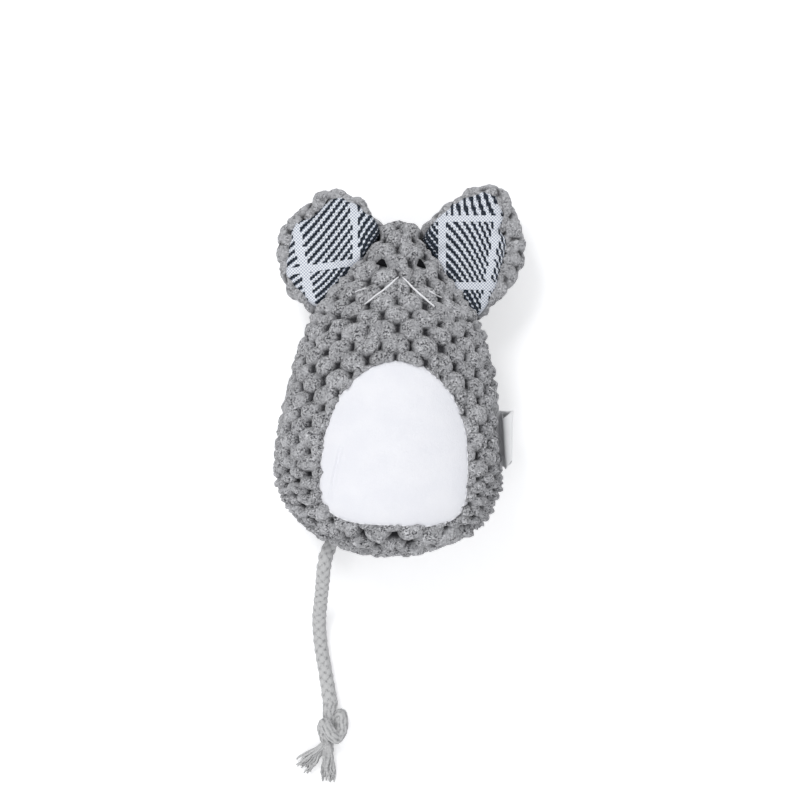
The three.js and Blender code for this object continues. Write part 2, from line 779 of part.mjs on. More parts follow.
// A soft body through stations given as { at, wide, high }, each square to the line through them
function stationLoft(stations) {
  const middles = stations.map((station) => station.at);
  const rings = stations.map((station, index) => {
    const before = middles[Math.max(0, index - 1)];
    const after = middles[Math.min(middles.length - 1, index + 1)];
    const way = after.clone().sub(before).setZ(0).normalize();
    const across = new THREE.Vector3(-way.y, way.x, 0);
    return Array.from({ length: ropeSides }, (_, side) => {
      const angle = (side / ropeSides) * 2 * Math.PI;
      const up = new THREE.Vector3(0, 0, station.high * Math.sin(angle));
      return station.at.clone().addScaledVector(across, station.wide * Math.cos(angle)).add(up);
    });
  });
  return loft(rings, middles[0], middles[middles.length - 1]);
}

// The knot: the rope's own lump with one slanting turn laid round it, flat on the ground
function ropeKnot() {
  const knotSize = new THREE.Vector3(knotWidth, knotLength, knotHeight);
  const core = knotCoreShares.map((share) => {
    const step = new THREE.Vector3(share.across, -share.along, share.up);
    return {
      at: knotStart.clone().add(step.multiply(knotSize)),
      wide: (share.wide * knotWidth) / 2,
      high: (share.high * knotHeight) / 2,
    };
  });
  const turnRadius = knotWidth / 2 - knotTurnRadius;
  const turn = new THREE.TorusGeometry(turnRadius, knotTurnRadius, ropeSides, knotTurnSteps);
  turn.scale(1, 1, knotTurnStretchShare);
  turn.rotateX(Math.PI / 2);
  turn.rotateZ(knotSlant);
  turn.translate(knotStart.x + knotShift, knotStart.y - knotLength / 2, knotHeight / 2);
  const lump = solid(stationLoft(core)).add(solid(turn));
  const ground = block(new THREE.Vector3(-far, -far, 0), new THREE.Vector3(far, far, far));
  return skin(lump.intersect(ground));
}

// A frayed end of the rope, widening from the knot to its tip on the ground
function ropeTuft(side, tuft) {
  const last = knotCoreShares[knotCoreShares.length - 1];
  const root = knotStart.clone();
  root.x += last.across * knotWidth + (side * tuftSpread) / 2;
  root.y -= knotLength + tuftRootWidth * Math.abs(Math.sin(tuft.turn)) / 2 + gap;
  return stationLoft(tuftShares.map((share) => {
    const wide = THREE.MathUtils.lerp(tuftRootWidth, tuft.tipWidth, share.wide) / 2;
    const high = (share.high * tuftHeight) / 2;
    const along = share.along * tuft.length;
    const step = new THREE.Vector3(Math.sin(tuft.turn) * along, -Math.cos(tuft.turn) * along, 0);
    return { at: root.clone().add(step).setZ(high), wide, high };
  }));
}

// Sachet: a small flat pillow, moved outwards by a clearance
function sachetForm(clearance) {
  const pillow = new THREE.SphereGeometry(1, sachetSides, sachetRows);
  const position = pillow.attributes.position;
  for (let index = 0; index < position.count; index += 1) {
    const point = new THREE.Vector3().fromBufferAttribute(position, index);
    const square = (value) => Math.sign(value) * Math.abs(value) ** sachetSquareShare;
    position.setXYZ(index, square(point.x), square(point.y), point.z);
  }
  const half = [sachetWidth / 2, sachetLength / 2, sachetThickness / 2].map((size) => size + clearance);
  return pillow.scale(...half).translate(0, sachetAlong - restAlong, 0);
}

// The cloth panels and the filling, cut from whole bodies
const inside = bodyForm(plushThickness, innerRows, innerSides);
const stuffing = bodyForm(plushThickness + gap, innerRows, innerSides);
const frontShell = puffedHalf(1).subtract(inside);
const backShell = puffedHalf(-1).subtract(inside);
const machineStart = closingEndShare + seamBreakShare;
const machineEnd = 1 + closingStartShare - seamBreakShare;
const closingStart = closingStartShare + seamBreakShare;
const closingEnd = closingEndShare - seamBreakShare;
const seamThread = seamRun(machineStart, machineEnd, threadRadius);
const closingThread = seamRun(closingStart, closingEnd, threadRadius);
const machineTunnel = solid(seamRun(machineStart, machineEnd, threadRadius + gap));
const closingTunnel = solid(seamRun(machineEnd - 1, machineStart, threadRadius + gap));
const seamTunnel = machineTunnel.add(closingTunnel);
const tailTunnel = solid(ropeEnd(ropeRadius + gap, anchorDepth + gap))
  .add(solid(ropeTack(threadRadius + gap, 2 * threadRadius + gap)));
const seamRoom = seamTunnel.add(tailTunnel).add(earTab(-1, gap)).add(earTab(1, gap));

const underPatch = bodyForm(velourInset + velourThickness + gap, bodyRows, bodySides);
const patchSeat = patchBlock(-gap).subtract(underPatch);
const frontPanel = frontShell.intersect(roomAbove(gap / 2)).subtract(patchSeat).subtract(seamRoom);
const backPanel = backShell
  .intersect(roomBelow(-gap / 2))
  .intersect(roomAbove(-seamHeight))
  .subtract(seamRoom);
const bellyPatch = patchBlock(0)
  .intersect(bodyForm(velourInset, bodyRows, bodySides))
  .subtract(bodyForm(velourInset + velourThickness, bodyRows, bodySides));

const headCut = bodyLength - headFillingBack - restAlong;
const towardsTail = block(
  new THREE.Vector3(-far, -far, -far),
  new THREE.Vector3(far, headCut - gap / 2, far),
);
const towardsNose = block(
  new THREE.Vector3(-far, headCut + gap / 2, -far),
  new THREE.Vector3(far, far, far),
);
const hollows = seamRoom.add(solid(sachetForm(gap)));
const frontFilling = stuffing.intersect(roomAbove(gap / 2)).intersect(towardsTail).subtract(hollows);
const backFilling = stuffing.intersect(roomBelow(-gap / 2)).intersect(towardsTail).subtract(hollows);
const headFilling = stuffing.intersect(towardsNose).subtract(hollows);

const object = new THREE.Group();
const toy = new THREE.Group();
toy.position.set(0, 0, seamHeight);
object.add(toy);

function place(parent, name, geometry, material) {
  const mesh = new THREE.Mesh(geometry, material);
  mesh.name = name;
  parent.add(mesh);
  return mesh;
}

place(toy, 'body_front_panel', skin(frontPanel), greyPlush);
place(toy, 'body_back_panel', skin(backPanel), greyPlush);
place(toy, 'belly_patch', skin(bellyPatch), whiteVelour);
place(toy, 'belly_patch_stitch', patchStitch(), whiteThread);
place(toy, 'side_seam_thread', seamThread, greyThread);
place(toy, 'closing_thread', closingThread, greyThread);
place(toy, 'filling_front', skin(frontFilling), whiteFibre);
place(toy, 'filling_back', skin(backFilling), whiteFibre);
place(toy, 'filling_head', skin(headFilling), whiteFibre);
place(toy, 'catnip_sachet', sachetForm(0), sachetCloth);

for (const [name, side] of [['left', -1], ['right', 1]]) {
  const reach = earReaches[name];
  const ear = new THREE.Group();
  ear.position.copy(earPlace(side));
  ear.rotation.z = -side * cheekAngle;
  toy.add(ear);
  place(ear, `ear_${name}_plush_back`, earPlush(side, reach), greyPlush);
  place(ear, `ear_${name}_wadding`, earWadding(side, reach), whiteFibre);
  place(ear, `ear_${name}_woven_front`, earFabric(side, reach), checkFabric);
  place(toy, `ear_${name}_sewn_tab`, skin(earTab(side, 0).subtract(seamTunnel)), checkFabric);
  place(toy, `eye_${name}`, eyePad(side), blackThread);
  place(toy, `whisker_${name}_long`, faceThread(side, longWhisker), whiteThread);
  place(toy, `whisker_${name}_short`, faceThread(side, shortWhisker), whiteThread);
}

const labelHalf = halfWidthAt(labelAlong);
const labelLean = halfWidthAt(labelAlong - labelWidth / 2) - halfWidthAt(labelAlong + labelWidth / 2);
const label = place(toy, 'care_label', labelRibbon(), whiteSatin);
label.position.set(labelHalf + 2 * gap, labelAlong - restAlong, 0);
label.rotation.z = Math.atan2(labelLean, labelWidth);

place(toy, 'tail_sewn_end', skin(solid(ropeEnd(ropeRadius, anchorDepth)).subtract(seamTunnel)), greyRope);
place(toy, 'tail_tack', ropeTack(threadRadius, 2 * threadRadius), greyThread);

const tailCurve = new THREE.CatmullRomCurve3(tailRoute);
place(object, 'tail_cord', tube(tailCurve, ropeRadius, ropeSides, ropeSteps), greyRope);
place(object, 'tail_knot', ropeKnot(), greyRope);
place(object, 'tail_tuft_left', ropeTuft(-1, tufts.left), greyRope);
place(object, 'tail_tuft_right', ropeTuft(1, tufts.right), greyRope);

export default object;
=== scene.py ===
"""Mouse cat toy: a stuffed plush mouse that lies on its back, with its belly up.

Sizes are in millimetres, in the part's own frame: +Y from the tail end to the nose, +Z up out of
the belly, +X to the right seen from above. A mesh is turned into metres when it is made.
"""

import itertools
import logging
import math
from dataclasses import dataclass, field
from enum import Enum

import bpy
import numpy as np
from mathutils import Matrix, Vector


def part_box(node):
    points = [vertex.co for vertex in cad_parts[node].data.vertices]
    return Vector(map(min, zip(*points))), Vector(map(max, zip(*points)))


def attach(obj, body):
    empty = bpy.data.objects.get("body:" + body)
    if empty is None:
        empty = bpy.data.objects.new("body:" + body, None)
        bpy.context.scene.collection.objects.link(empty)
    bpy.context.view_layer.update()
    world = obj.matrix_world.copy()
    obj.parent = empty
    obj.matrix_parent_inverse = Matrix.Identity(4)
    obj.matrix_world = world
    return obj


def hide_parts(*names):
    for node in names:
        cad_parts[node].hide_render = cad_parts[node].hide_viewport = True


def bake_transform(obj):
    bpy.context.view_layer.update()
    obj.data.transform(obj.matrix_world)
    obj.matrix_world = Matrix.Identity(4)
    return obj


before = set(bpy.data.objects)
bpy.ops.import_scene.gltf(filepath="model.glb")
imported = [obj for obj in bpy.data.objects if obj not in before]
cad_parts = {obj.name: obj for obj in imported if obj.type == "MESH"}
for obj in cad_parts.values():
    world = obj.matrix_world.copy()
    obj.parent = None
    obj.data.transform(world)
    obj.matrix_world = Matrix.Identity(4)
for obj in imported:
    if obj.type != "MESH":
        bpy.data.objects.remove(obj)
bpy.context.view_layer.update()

MM = 0.001
VIEW_TURN = math.radians(3.0)
LOG = logging.getLogger("mouse_toy")
Array = np.ndarray
Pair = tuple[float, float]
Triple = tuple[float, float, float]
Colour = Triple
Piece = bpy.types.Object
Material = bpy.types.Material
Socket = bpy.types.NodeSocket


class Face(Enum):
    """The two sides of the stuffed body: the belly side up and the back down."""

    FRONT = 1
    BACK = -1


class Side(Enum):
    """The two sides of the mouse, seen from above with its nose up."""

    LEFT = -1
    RIGHT = 1

    @property
    def word(self) -> str:
        """The side's name as the nodes have it."""
        return self.name.lower()


# Numbers and curves


def smooth(low: float, high: float, value: Array) -> Array:
    """Rises softly from 0 to 1.

    Args:
        low: Where the rise starts.
        high: Where it ends.
        value: The values to look at.

    Returns:
        The share of the rise at each value.
    """
    share = np.clip((value - low) / (high - low), 0.0, 1.0)
    return share * share * (3.0 - 2.0 * share)


def scatter(cells: Array, seed: int) -> Array:
    """Gives each whole-numbered cell a fixed random value.

    Args:
        cells: Whole numbers, one row for each cell.
        seed: Which set of values to take.

    Returns:
        A value from -1 to 1 for each cell.
    """
    factors = np.array([73856093, 19349663, 83492791], dtype=np.int64)[: cells.shape[1]]
    mixed = (cells.astype(np.int64) @ factors + seed * 40503) & 0xFFFFFFFF
    mixed = ((mixed ^ (mixed >> 13)) * 1274126177) & 0xFFFFFFFF
    mixed = ((mixed ^ (mixed >> 15)) * 668265263) & 0xFFFFFFFF
    return ((mixed >> 8) % 65536) / 32767.5 - 1.0


def grain(points: Array, size: float, seed: int) -> Array:
    """Smooth random values over space.

    Args:
        points: Places in 2 or 3 dimensions, one row for each.
        size: The distance over which the values change.
        seed: Which set of values to take.

    Returns:
        A value from -1 to 1 for each place.
    """
    scaled = points / size + seed * 7.31
    cell = np.floor(scaled).astype(np.int64)
    part = scaled - cell
    part = part * part * (3.0 - 2.0 * part)
    total = np.zeros(len(points))
    for corner in itertools.product((0, 1), repeat=points.shape[1]):
        near = np.where(np.array(corner) == 1, part, 1.0 - part)
        total += np.prod(near, axis=1) * scatter(cell + np.array(corner), seed)
    return total


def respace(points: Array, count: int) -> Array:
    """Spaces points evenly along a line.

    Args:
        points: The line's points, in order.
        count: How many points to give back.

    Returns:
        That many points, evenly spaced along the line.
    """
    steps = np.linalg.norm(np.diff(points, axis=0), axis=1)
    along = np.concatenate([[0.0], np.cumsum(steps)])
    wanted = np.linspace(0.0, along[-1], count)
    return np.stack([np.interp(wanted, along, axis) for axis in points.T], axis=1)


def spline(points: Array, count: int, closed: bool = False) -> Array:
    """A smooth line through points, evenly spaced.

    Args:
        points: The points that the line goes through.
        count: How many points to give back.
        closed: Whether the line comes back to its first point.

    Returns:
        That many points along the line.
    """
    if closed:
        padded = np.concatenate([points[-1:], points, points[:2]])
    else:
        first = 2.0 * points[0] - points[1]
        last = 2.0 * points[-1] - points[-2]
        padded = np.concatenate([[first], points, [last]])
    dense = []
    share = np.linspace(0.0, 1.0, 24, endpoint=False)[:, None]
    for before, start, end, after in zip(padded, padded[1:], padded[2:], padded[3:]):
        dense.append(
            0.5
            * (
                2.0 * start
                + (end - before) * share
                + (2.0 * before - 5.0 * start + 4.0 * end - after) * share**2
                + (3.0 * start - before - 3.0 * end + after) * share**3
            )
        )
    line = np.concatenate([*dense, padded[-2:-1]])
    return respace(line, count)


def bezier(start: Array, lead: Array, into: Array, end: Array, count: int) -> Array:
    """A curve between two points with two handles.

    Args:
        start: Where the curve starts.
        lead: The handle of its start.
        into: The handle of its end.
        end: Where it ends.
        count: How many points to give back.

    Returns:
        Points along the curve.
    """
    share = np.linspace(0.0, 1.0, count)[:, None]
    rest = 1.0 - share
    first_half = rest**3 * start + 3.0 * rest**2 * share * lead
    return first_half + 3.0 * rest * share**2 * into + share**3 * end


# Meshes


def add_mesh(name: str, points: Array, faces: list, material: Material) -> Piece:
    """Makes a smooth piece from points in millimetres, with its faces outwards.

    Args:
        name: The piece's name.
        points: One row for each vertex.
        faces: The vertices of each face.
        material: Its finish.

    Returns:
        The new object, in metres.
    """
    mesh = bpy.data.meshes.new(name)
    corners = points - points.mean(axis=0)
    volume = 0.0
    for size in {len(face) for face in faces}:
        ring = corners[np.array([face for face in faces if len(face) == size])]
        for turn in range(1, size - 1):
            volume += np.einsum("ij,ij->", ring[:, 0], np.cross(ring[:, turn], ring[:, turn + 1]))
    if volume < 0.0:
        faces = [face[::-1] for face in faces]
    mesh.from_pydata((points * MM).tolist(), [], faces)
    mesh.polygons.foreach_set("use_smooth", np.ones(len(faces), dtype=bool))
    mesh.materials.append(material)
    mesh.update()
    piece = bpy.data.objects.new(name, mesh)
    bpy.context.scene.collection.objects.link(piece)
    return piece


def keep(piece: Piece, name: str, values: Array) -> None:
    """Keeps a number or a place with each vertex of a piece, for its finish to read.

    Args:
        piece: The piece.
        name: The name that the finish reads it by.
        values: A number for each vertex, or a row of three.
    """
    kind, key = ("FLOAT", "value") if values.ndim == 1 else ("FLOAT_VECTOR", "vector")
    layer = piece.data.attributes.new(name, kind, "POINT")
    layer.data.foreach_set(key, values.astype(np.float32).ravel())


def ring_faces(rings: int, sides: int, first: int) -> list:
    """Faces of a closed skin over rings of vertices with a single vertex at each end.

    Args:
        rings: How many rings there are.
        sides: How many vertices each ring has.
        first: The number of the start vertex, which the rings and the end vertex follow.

    Returns:
        The vertices of each face.
    """
    base = first + 1
    last = base + rings * sides
    faces = []
    for side in range(sides):
        following = (side + 1) % sides
        faces.append((first, base + following, base + side))
        for ring in range(rings - 1):
            here = base + ring * sides
            there = here + sides
            faces.append((here + side, here + following, there + following, there + side))
        end = base + (rings - 1) * sides
        faces.append((last, end + side, end + following))
    return faces


def grid_normals(points: Array, closed: bool) -> Array:
    """Directions square to a surface given as a grid.

    Args:
        points: Rows and columns of places.
        closed: Whether the last column lies next to the first.

    Returns:
        A unit vector for each place.
    """
    down = np.gradient(points, axis=0)
    if closed:
        across = (np.roll(points, -1, axis=1) - np.roll(points, 1, axis=1)) / 2.0
    else:
        across = np.gradient(points, axis=1)
    normals = np.cross(across, down)
    lengths = np.linalg.norm(normals, axis=2, keepdims=True)
    return normals / np.maximum(lengths, 1e-9)


# Finishes


class Signal:
    """A number that changes over a surface, for shader maths in plain operators."""

    def __init__(self, nodes: "Nodes", socket: Socket) -> None:
        """Wraps the socket that gives the number."""
        self.nodes = nodes
        self.socket = socket

    def _maths(self, operation: str, *values: "Signal | float") -> "Signal":
        """Adds one Math node.

        Args:
            operation: The node's operation.
            values: What it works on, in order.

        Returns:
            Its result.
        """
        inputs = dict(enumerate(values))
        return self.nodes.signal("ShaderNodeMath", {"operation": operation}, inputs)

    def __add__(self, other: "Signal | float") -> "Signal":
        """Adds."""
        return self._maths("ADD", self, other)

    __radd__ = __add__

    def __sub__(self, other: "Signal | float") -> "Signal":
        """Takes away."""
        return self._maths("SUBTRACT", self, other)

    def __rsub__(self, other: "Signal | float") -> "Signal":
        """Takes away from a number."""
        return self._maths("SUBTRACT", other, self)

    def __mul__(self, other: "Signal | float") -> "Signal":
        """Multiplies."""
        return self._maths("MULTIPLY", self, other)

    __rmul__ = __mul__

    def __truediv__(self, other: "Signal | float") -> "Signal":
        """Divides."""
        return self._maths("DIVIDE", self, other)

    def __rtruediv__(self, other: "Signal | float") -> "Signal":
        """Divides a number by it."""
        return self._maths("DIVIDE", other, self)

    def __gt__(self, other: "Signal | float") -> "Signal":
        """1 where it is greater, else 0."""
        return self._maths("GREATER_THAN", self, other)

    def floor(self) -> "Signal":
        """The whole number below."""
        return self._maths("FLOOR", self)

    def distance(self) -> "Signal":
        """How far from zero."""
        return self._maths("ABSOLUTE", self)

    def wave(self) -> "Signal":
        """The sine."""
        return self._maths("SINE", self)

    def sawtooth(self) -> "Signal":
        """The part after the whole number."""
        return self._maths("FRACT", self)

    def most(self, other: "Signal | float") -> "Signal":
        """The greater of the two."""
        return self._maths("MAXIMUM", self, other)

    def rise(self, low: float, high: float) -> "Signal":
        """Rises softly from 0 to 1 between two values.

        Args:
            low: Where the rise starts.
            high: Where it ends.

        Returns:
            The share of the rise.
        """
        settings = {"interpolation_type": "SMOOTHSTEP"}
        inputs = {"Value": self, "From Min": low, "From Max": high}
        return self.nodes.signal("ShaderNodeMapRange", settings, inputs)


class Nodes:
    """A node tree, and the one way to add a node to it."""

    def __init__(self, tree: bpy.types.NodeTree) -> None:
        """Starts with an empty tree."""
        self.tree = tree
        tree.nodes.clear()

    def node(self, kind: str, settings: dict, inputs: dict) -> bpy.types.Node:
        """Adds any node.

        Args:
            kind: The node's type.
            settings: Its own settings, which are set first.
            inputs: Values or links of its sockets, by name or number.

        Returns:
            The node.
        """
        made = self.tree.nodes.new(kind)
        for key, value in settings.items():
            setattr(made, key, value)
        for key, value in inputs.items():
            if isinstance(value, Signal):
                value = value.socket
            if isinstance(value, Socket):
                self.tree.links.new(value, made.inputs[key])
            else:
                made.inputs[key].default_value = value
        return made

    def signal(self, kind: str, settings: dict, inputs: dict, result: int | str = 0) -> Signal:
        """Adds a node and wraps one of its results.

        Args:
            kind: The node's type.
            settings: Its own settings.
            inputs: Values or links of its sockets.
            result: Which result is taken.

        Returns:
            The result.
        """
        return Signal(self, self.node(kind, settings, inputs).outputs[result])


class Finish(Nodes):
    """One cloth, thread or rope: builds its material."""

    def __init__(self, name: str) -> None:
        """Starts an empty material.

        Args:
            name: Its name.
        """
        self.material = bpy.data.materials.new(name)
        self.material.use_nodes = True
        super().__init__(self.material.node_tree)

    def place(self) -> Socket:
        """The place on the piece, in metres."""
        return self.node("ShaderNodeTexCoord", {}, {}).outputs["Object"]

    def kept(self, name: str, result: str = "Fac") -> Signal:
        """What a piece keeps with its vertices.

        Args:
            name: The name that it is kept by.
            result: "Fac" for a number and "Vector" for a place.

        Returns:
            The number or the place.
        """
        settings = {"attribute_type": "GEOMETRY", "attribute_name": name}
        return self.signal("ShaderNodeAttribute", settings, {}, result)

    def parts(self, place: Signal | Socket) -> tuple[Signal, Signal, Signal]:
        """The three numbers of a place.

        Args:
            place: The place.

        Returns:
            Its first, second and third number.
        """
        split = self.node("ShaderNodeSeparateXYZ", {}, {0: place})
        return tuple(Signal(self, socket) for socket in split.outputs)

    def noise(self, where: Socket, size: float, detail: float = 2.0) -> Signal:
        """Smooth random values from 0 to 1.

        Args:
            where: The place.
            size: The distance over which they change, in millimetres.
            detail: How many finer layers they have.

        Returns:
            The values.
        """
        inputs = {"Vector": where, "Scale": 1.0 / (size * MM), "Detail": detail}
        return self.signal("ShaderNodeTexNoise", {}, inputs)

    def mix(self, share: Signal, low: Colour | Socket, high: Colour | Socket) -> Socket:
        """Mixes two colours.

        Args:
            share: 0 for the first and 1 for the second.
            low: The first colour.
            high: The second colour.

        Returns:
            The mixed colour.
        """
        full = [(*value, 1.0) if isinstance(value, tuple) else value for value in (low, high)]
        inputs = {0: share, 6: full[0], 7: full[1]}
        return self.node("ShaderNodeMix", {"data_type": "RGBA"}, inputs).outputs[2]

    def bump(self, height: Signal, depth: float) -> Socket:
        """Fine relief.

        Args:
            height: From 0 to 1.
            depth: How high 1 stands, in millimetres.

        Returns:
            The turned normal.
        """
        inputs = {"Strength": 1.0, "Distance": depth * MM, "Height": height}
        return self.node("ShaderNodeBump", {}, inputs).outputs[0]

    def end_in(self, shader: bpy.types.Node) -> Material:
        """Joins the last shader to the output and gives the material."""
        self.node("ShaderNodeOutputMaterial", {}, {"Surface": shader.outputs[0]})
        return self.material

    def cloth(self, colour: Socket, roughness: float, normal: Socket, **plain: float) -> Material:
        """Ends the material in one surface shader.

        Args:
            colour: The base colour.
            roughness: The roughness.
            normal: The turned normal.
            plain: Other sockets of the shader, with spaces as underscores.

        Returns:
            The material.
        """
        inputs = {"Base Color": colour, "Roughness": roughness, "Normal": normal}
        inputs.update({key.replace("_", " "): value for key, value in plain.items()})
        return self.end_in(self.node("ShaderNodeBsdfPrincipled", {}, inputs))


@dataclass(frozen=True)
class PopcornPlush:
    """Chunky chenille pile: light tufts full of fine dark fissures, with painted shade in the hollows
    between them.
    """

    name: str = "popcorn_plush"
    light: Colour = (0.70, 0.70, 0.72)
    worn: Colour = (0.56, 0.56, 0.575)
    # The colour of the painted shade in the hollows between tufts.
    dark: Colour = (0.030, 0.030, 0.035)
    fissure: Colour = (0.045, 0.045, 0.052)
    fissure_size: float = 1.15
    speck_size: float = 0.66
    patch_size: float = 4.5
    rough_size: float = 2.4
    even_tone: float = 0.62

    def material(self) -> Material:
        """Builds the material.

        Returns:
            The material.
        """
        finish = Finish(self.name)
        where = finish.place()
        curl = finish.noise(where, self.fissure_size, 3.0)
        speck = finish.noise(where, self.speck_size, 2.0)
        broad = finish.noise(where, self.patch_size, 2.0)
        fissures = (curl - 0.5).distance().rise(0.005, 0.09)
        fine = fissures * (1.0 - self.even_tone) + speck.rise(0.36, 0.62) * self.even_tone
        rough = finish.noise(where, self.rough_size, 1.0).rise(0.32, 0.68)
        tone = (fine - self.even_tone) * (rough * 1.05 + 0.38) + self.even_tone
        top = finish.mix(broad.rise(0.35, 0.65), self.worn, self.light)
        lit = finish.mix(tone, self.fissure, top)
        # Painted shade: the hollows between tufts darken towards this dark colour, by the kept pile share.
        colour = finish.mix(finish.kept("pile").rise(0.0, 0.72), self.dark, lit)
        normal = finish.bump(tone * 0.6 + curl * 0.4, 0.45)
        return finish.cloth(colour, 1.0, normal, Sheen_Weight=0.45, Sheen_Roughness=0.45)


@dataclass(frozen=True)
class Velour:
    """Short smooth white pile."""

    name: str = "white_velour"
    light: Colour = (0.90, 0.90, 0.935)
    shade: Colour = (0.865, 0.868, 0.91)
    pile_size: float = 0.45
    nap_size: float = 9.0

    def material(self) -> Material:
        """Builds the material.

        Returns:
            The material.
        """
        finish = Finish(self.name)
        where = finish.place()
        pile = finish.noise(where, self.pile_size, 3.0)
        nap = finish.noise(where, self.nap_size, 2.0)
        share = (pile * 0.35 + nap * 0.65).rise(0.35, 0.65)
        colour = finish.mix(share, self.shade, self.light)
        normal = finish.bump(pile, 0.12)
        return finish.cloth(colour, 0.95, normal, Sheen_Weight=0.3, Sheen_Roughness=0.4)


@dataclass(frozen=True)
class Stripes:
    """One run of slanting stripes, straight or gently bent, placed on the cloth in millimetres."""

    slant: float
    pitch: float
    middle: Pair
    phase: float
    bend: Triple = (0.0, 0.0, 0.0)
    dark: float = 0.5

    def counted(self, across: Signal, up: Signal) -> Signal:
        """How many stripes lie before a place.

        Args:
            across: The place's distance across.
            up: Its distance up.

        Returns:
            The count, with half a stripe at the middle of each dark one.
        """
        angle = math.radians(self.slant)
        u, v = across - self.middle[0], up - self.middle[1]
        straight = u * (-math.sin(angle) / self.pitch) + v * (math.cos(angle) / self.pitch)
        bent = u * v * self.bend[0] + u * u * self.bend[1] + v * v * self.bend[2]
        return straight + bent + self.phase


@dataclass(frozen=True)
class Band:
    """A plain white band that crosses the stripes."""

    middle: Pair
    width: float
    upright: bool
    lean: float = 0.0

    def apart(self, across: Signal, up: Signal) -> Signal:
        """Distance from the band's middle line, above 0 to its right or over it.

        Args:
            across: The place's distance across.
            up: Its distance up.

        Returns:
            The distance.
        """
        u, v = across - self.middle[0], up - self.middle[1]
        return u - v * self.lean if self.upright else v - u * self.lean


@dataclass(frozen=True)
class WovenCheck:
    """Woven cloth: dark slanting stripes on white, crossed by plain white bands.

    Each entry of beyond gives a band's number, its side, and the stripes that lie there. Towards
    the ear's base, where the cloth turns under, painted shade widens the dark stripes.
    """

    name: str
    stripes: Stripes
    bands: tuple[Band, ...]
    beyond: tuple[tuple[int, int, Stripes], ...]
    base: Pair
    inward: Pair
    # Painted shade: how much wider the dark stripes grow towards the base, and over what span.
    base_painted_shade: float = 0.28
    base_shade_span: Pair = (-4.5, 0.5)
    weave: float = 0.86
    knot: float = 1.1
    white: Colour = (0.96, 0.98, 1.0)
    grey: Colour = (0.34, 0.38, 0.49)
    dark: Colour = (0.006, 0.009, 0.014)
    faded: Colour = (0.06, 0.075, 0.10)

    def material(self) -> Material:
        """Builds the material.

        Returns:
            The material.
        """
        finish = Finish(self.name)
        across, up, _ = finish.parts(finish.kept("cloth", "Vector"))
        stepped = ((across / self.weave).floor() + 0.5) * self.weave
        beside = stepped * 0.7 + across * 0.3
        count = self.stripes.counted(beside, up)
        dark = across * 0.0 + self.stripes.dark
        for number, side, stripes in self.beyond:
            there = self.bands[number].apart(across, up) * float(side) > 0.0
            count = count + (stripes.counted(beside, up) - count) * there
            dark = dark + (stripes.dark - dark) * there
        # Painted shade towards the base, where the cloth turns under.
        inward = (across - self.base[0]) * self.inward[0] + (up - self.base[1]) * self.inward[1]
        dark = dark + inward.rise(*self.base_shade_span) * self.base_painted_shade
        turn = 2.0 * math.pi / self.knot
        knots = (across * turn).wave() * (up * turn).wave()
        line = (count.sawtooth() - 0.5).distance() - knots * 0.06 - dark * 0.5
        stripe = 1.0 - line.rise(-0.035, 0.035)
        for band in self.bands:
            apart = band.apart(stepped if band.upright else across, up).distance()
            stripe = stripe * (apart > band.width / 2.0)
        thread = finish.noise(finish.place(), 0.3, 2.0)
        woven = (knots * 0.5 + 0.5).rise(0.2, 0.7)
        light = finish.mix(woven * 0.8 + thread * 0.2, self.grey, self.white)
        deep = finish.mix(woven * 0.9 + thread * 0.4 - 0.4, self.dark, self.faded)
        colour = finish.mix(stripe, light, deep)
        normal = finish.bump(woven, 0.1)
        return finish.cloth(colour, 0.9, normal, Specular_IOR_Level=0.12)


@dataclass(frozen=True)
class CottonRope:
    """Pale grey spun cotton, with painted shade between the strands."""

    name: str = "cotton_rope"
    light: Colour = (0.57, 0.57, 0.57)
    dark: Colour = (0.23, 0.23, 0.235)
    fibre_size: float = 0.7

    def material(self) -> Material:
        """Builds the material.

        Returns:
            The material.
        """
        finish = Finish(self.name)
        where = finish.place()
        fibre = finish.noise(where, self.fibre_size, 3.0)
        # The pile share darkens the colour between the strands as painted shade; on the frayed yarns it is
        # each yarn's random tone.
        share = (finish.kept("pile") * 0.7 + fibre * 0.95 - 0.33).rise(0.0, 0.75)
        colour = finish.mix(share, self.dark, self.light)
        return finish.cloth(colour, 0.95, finish.bump(fibre, 0.2), Sheen_Weight=0.1)


@dataclass(frozen=True)
class PlainFibre:
    """Thread, ribbon or loose fibre of one colour with a fine grain."""

    name: str
    light: Colour
    dark: Colour
    grain_size: float = 0.3
    roughness: float = 0.8
    sheen: float = 0.1
    depth: float = 0.08
    shine: float = 0.5

    def material(self) -> Material:
        """Builds the material.

        Returns:
            The material.
        """
        finish = Finish(self.name)
        fibre = finish.noise(finish.place(), self.grain_size, 3.0)
        broad = finish.noise(finish.place(), self.grain_size * 9.0, 2.0)
        colour = finish.mix((fibre * 0.6 + broad * 0.4).rise(0.3, 0.7), self.dark, self.light)
        normal = finish.bump(fibre, self.depth)
        return finish.cloth(
            colour, self.roughness, normal, Sheen_Weight=self.sheen, Specular_IOR_Level=self.shine
        )


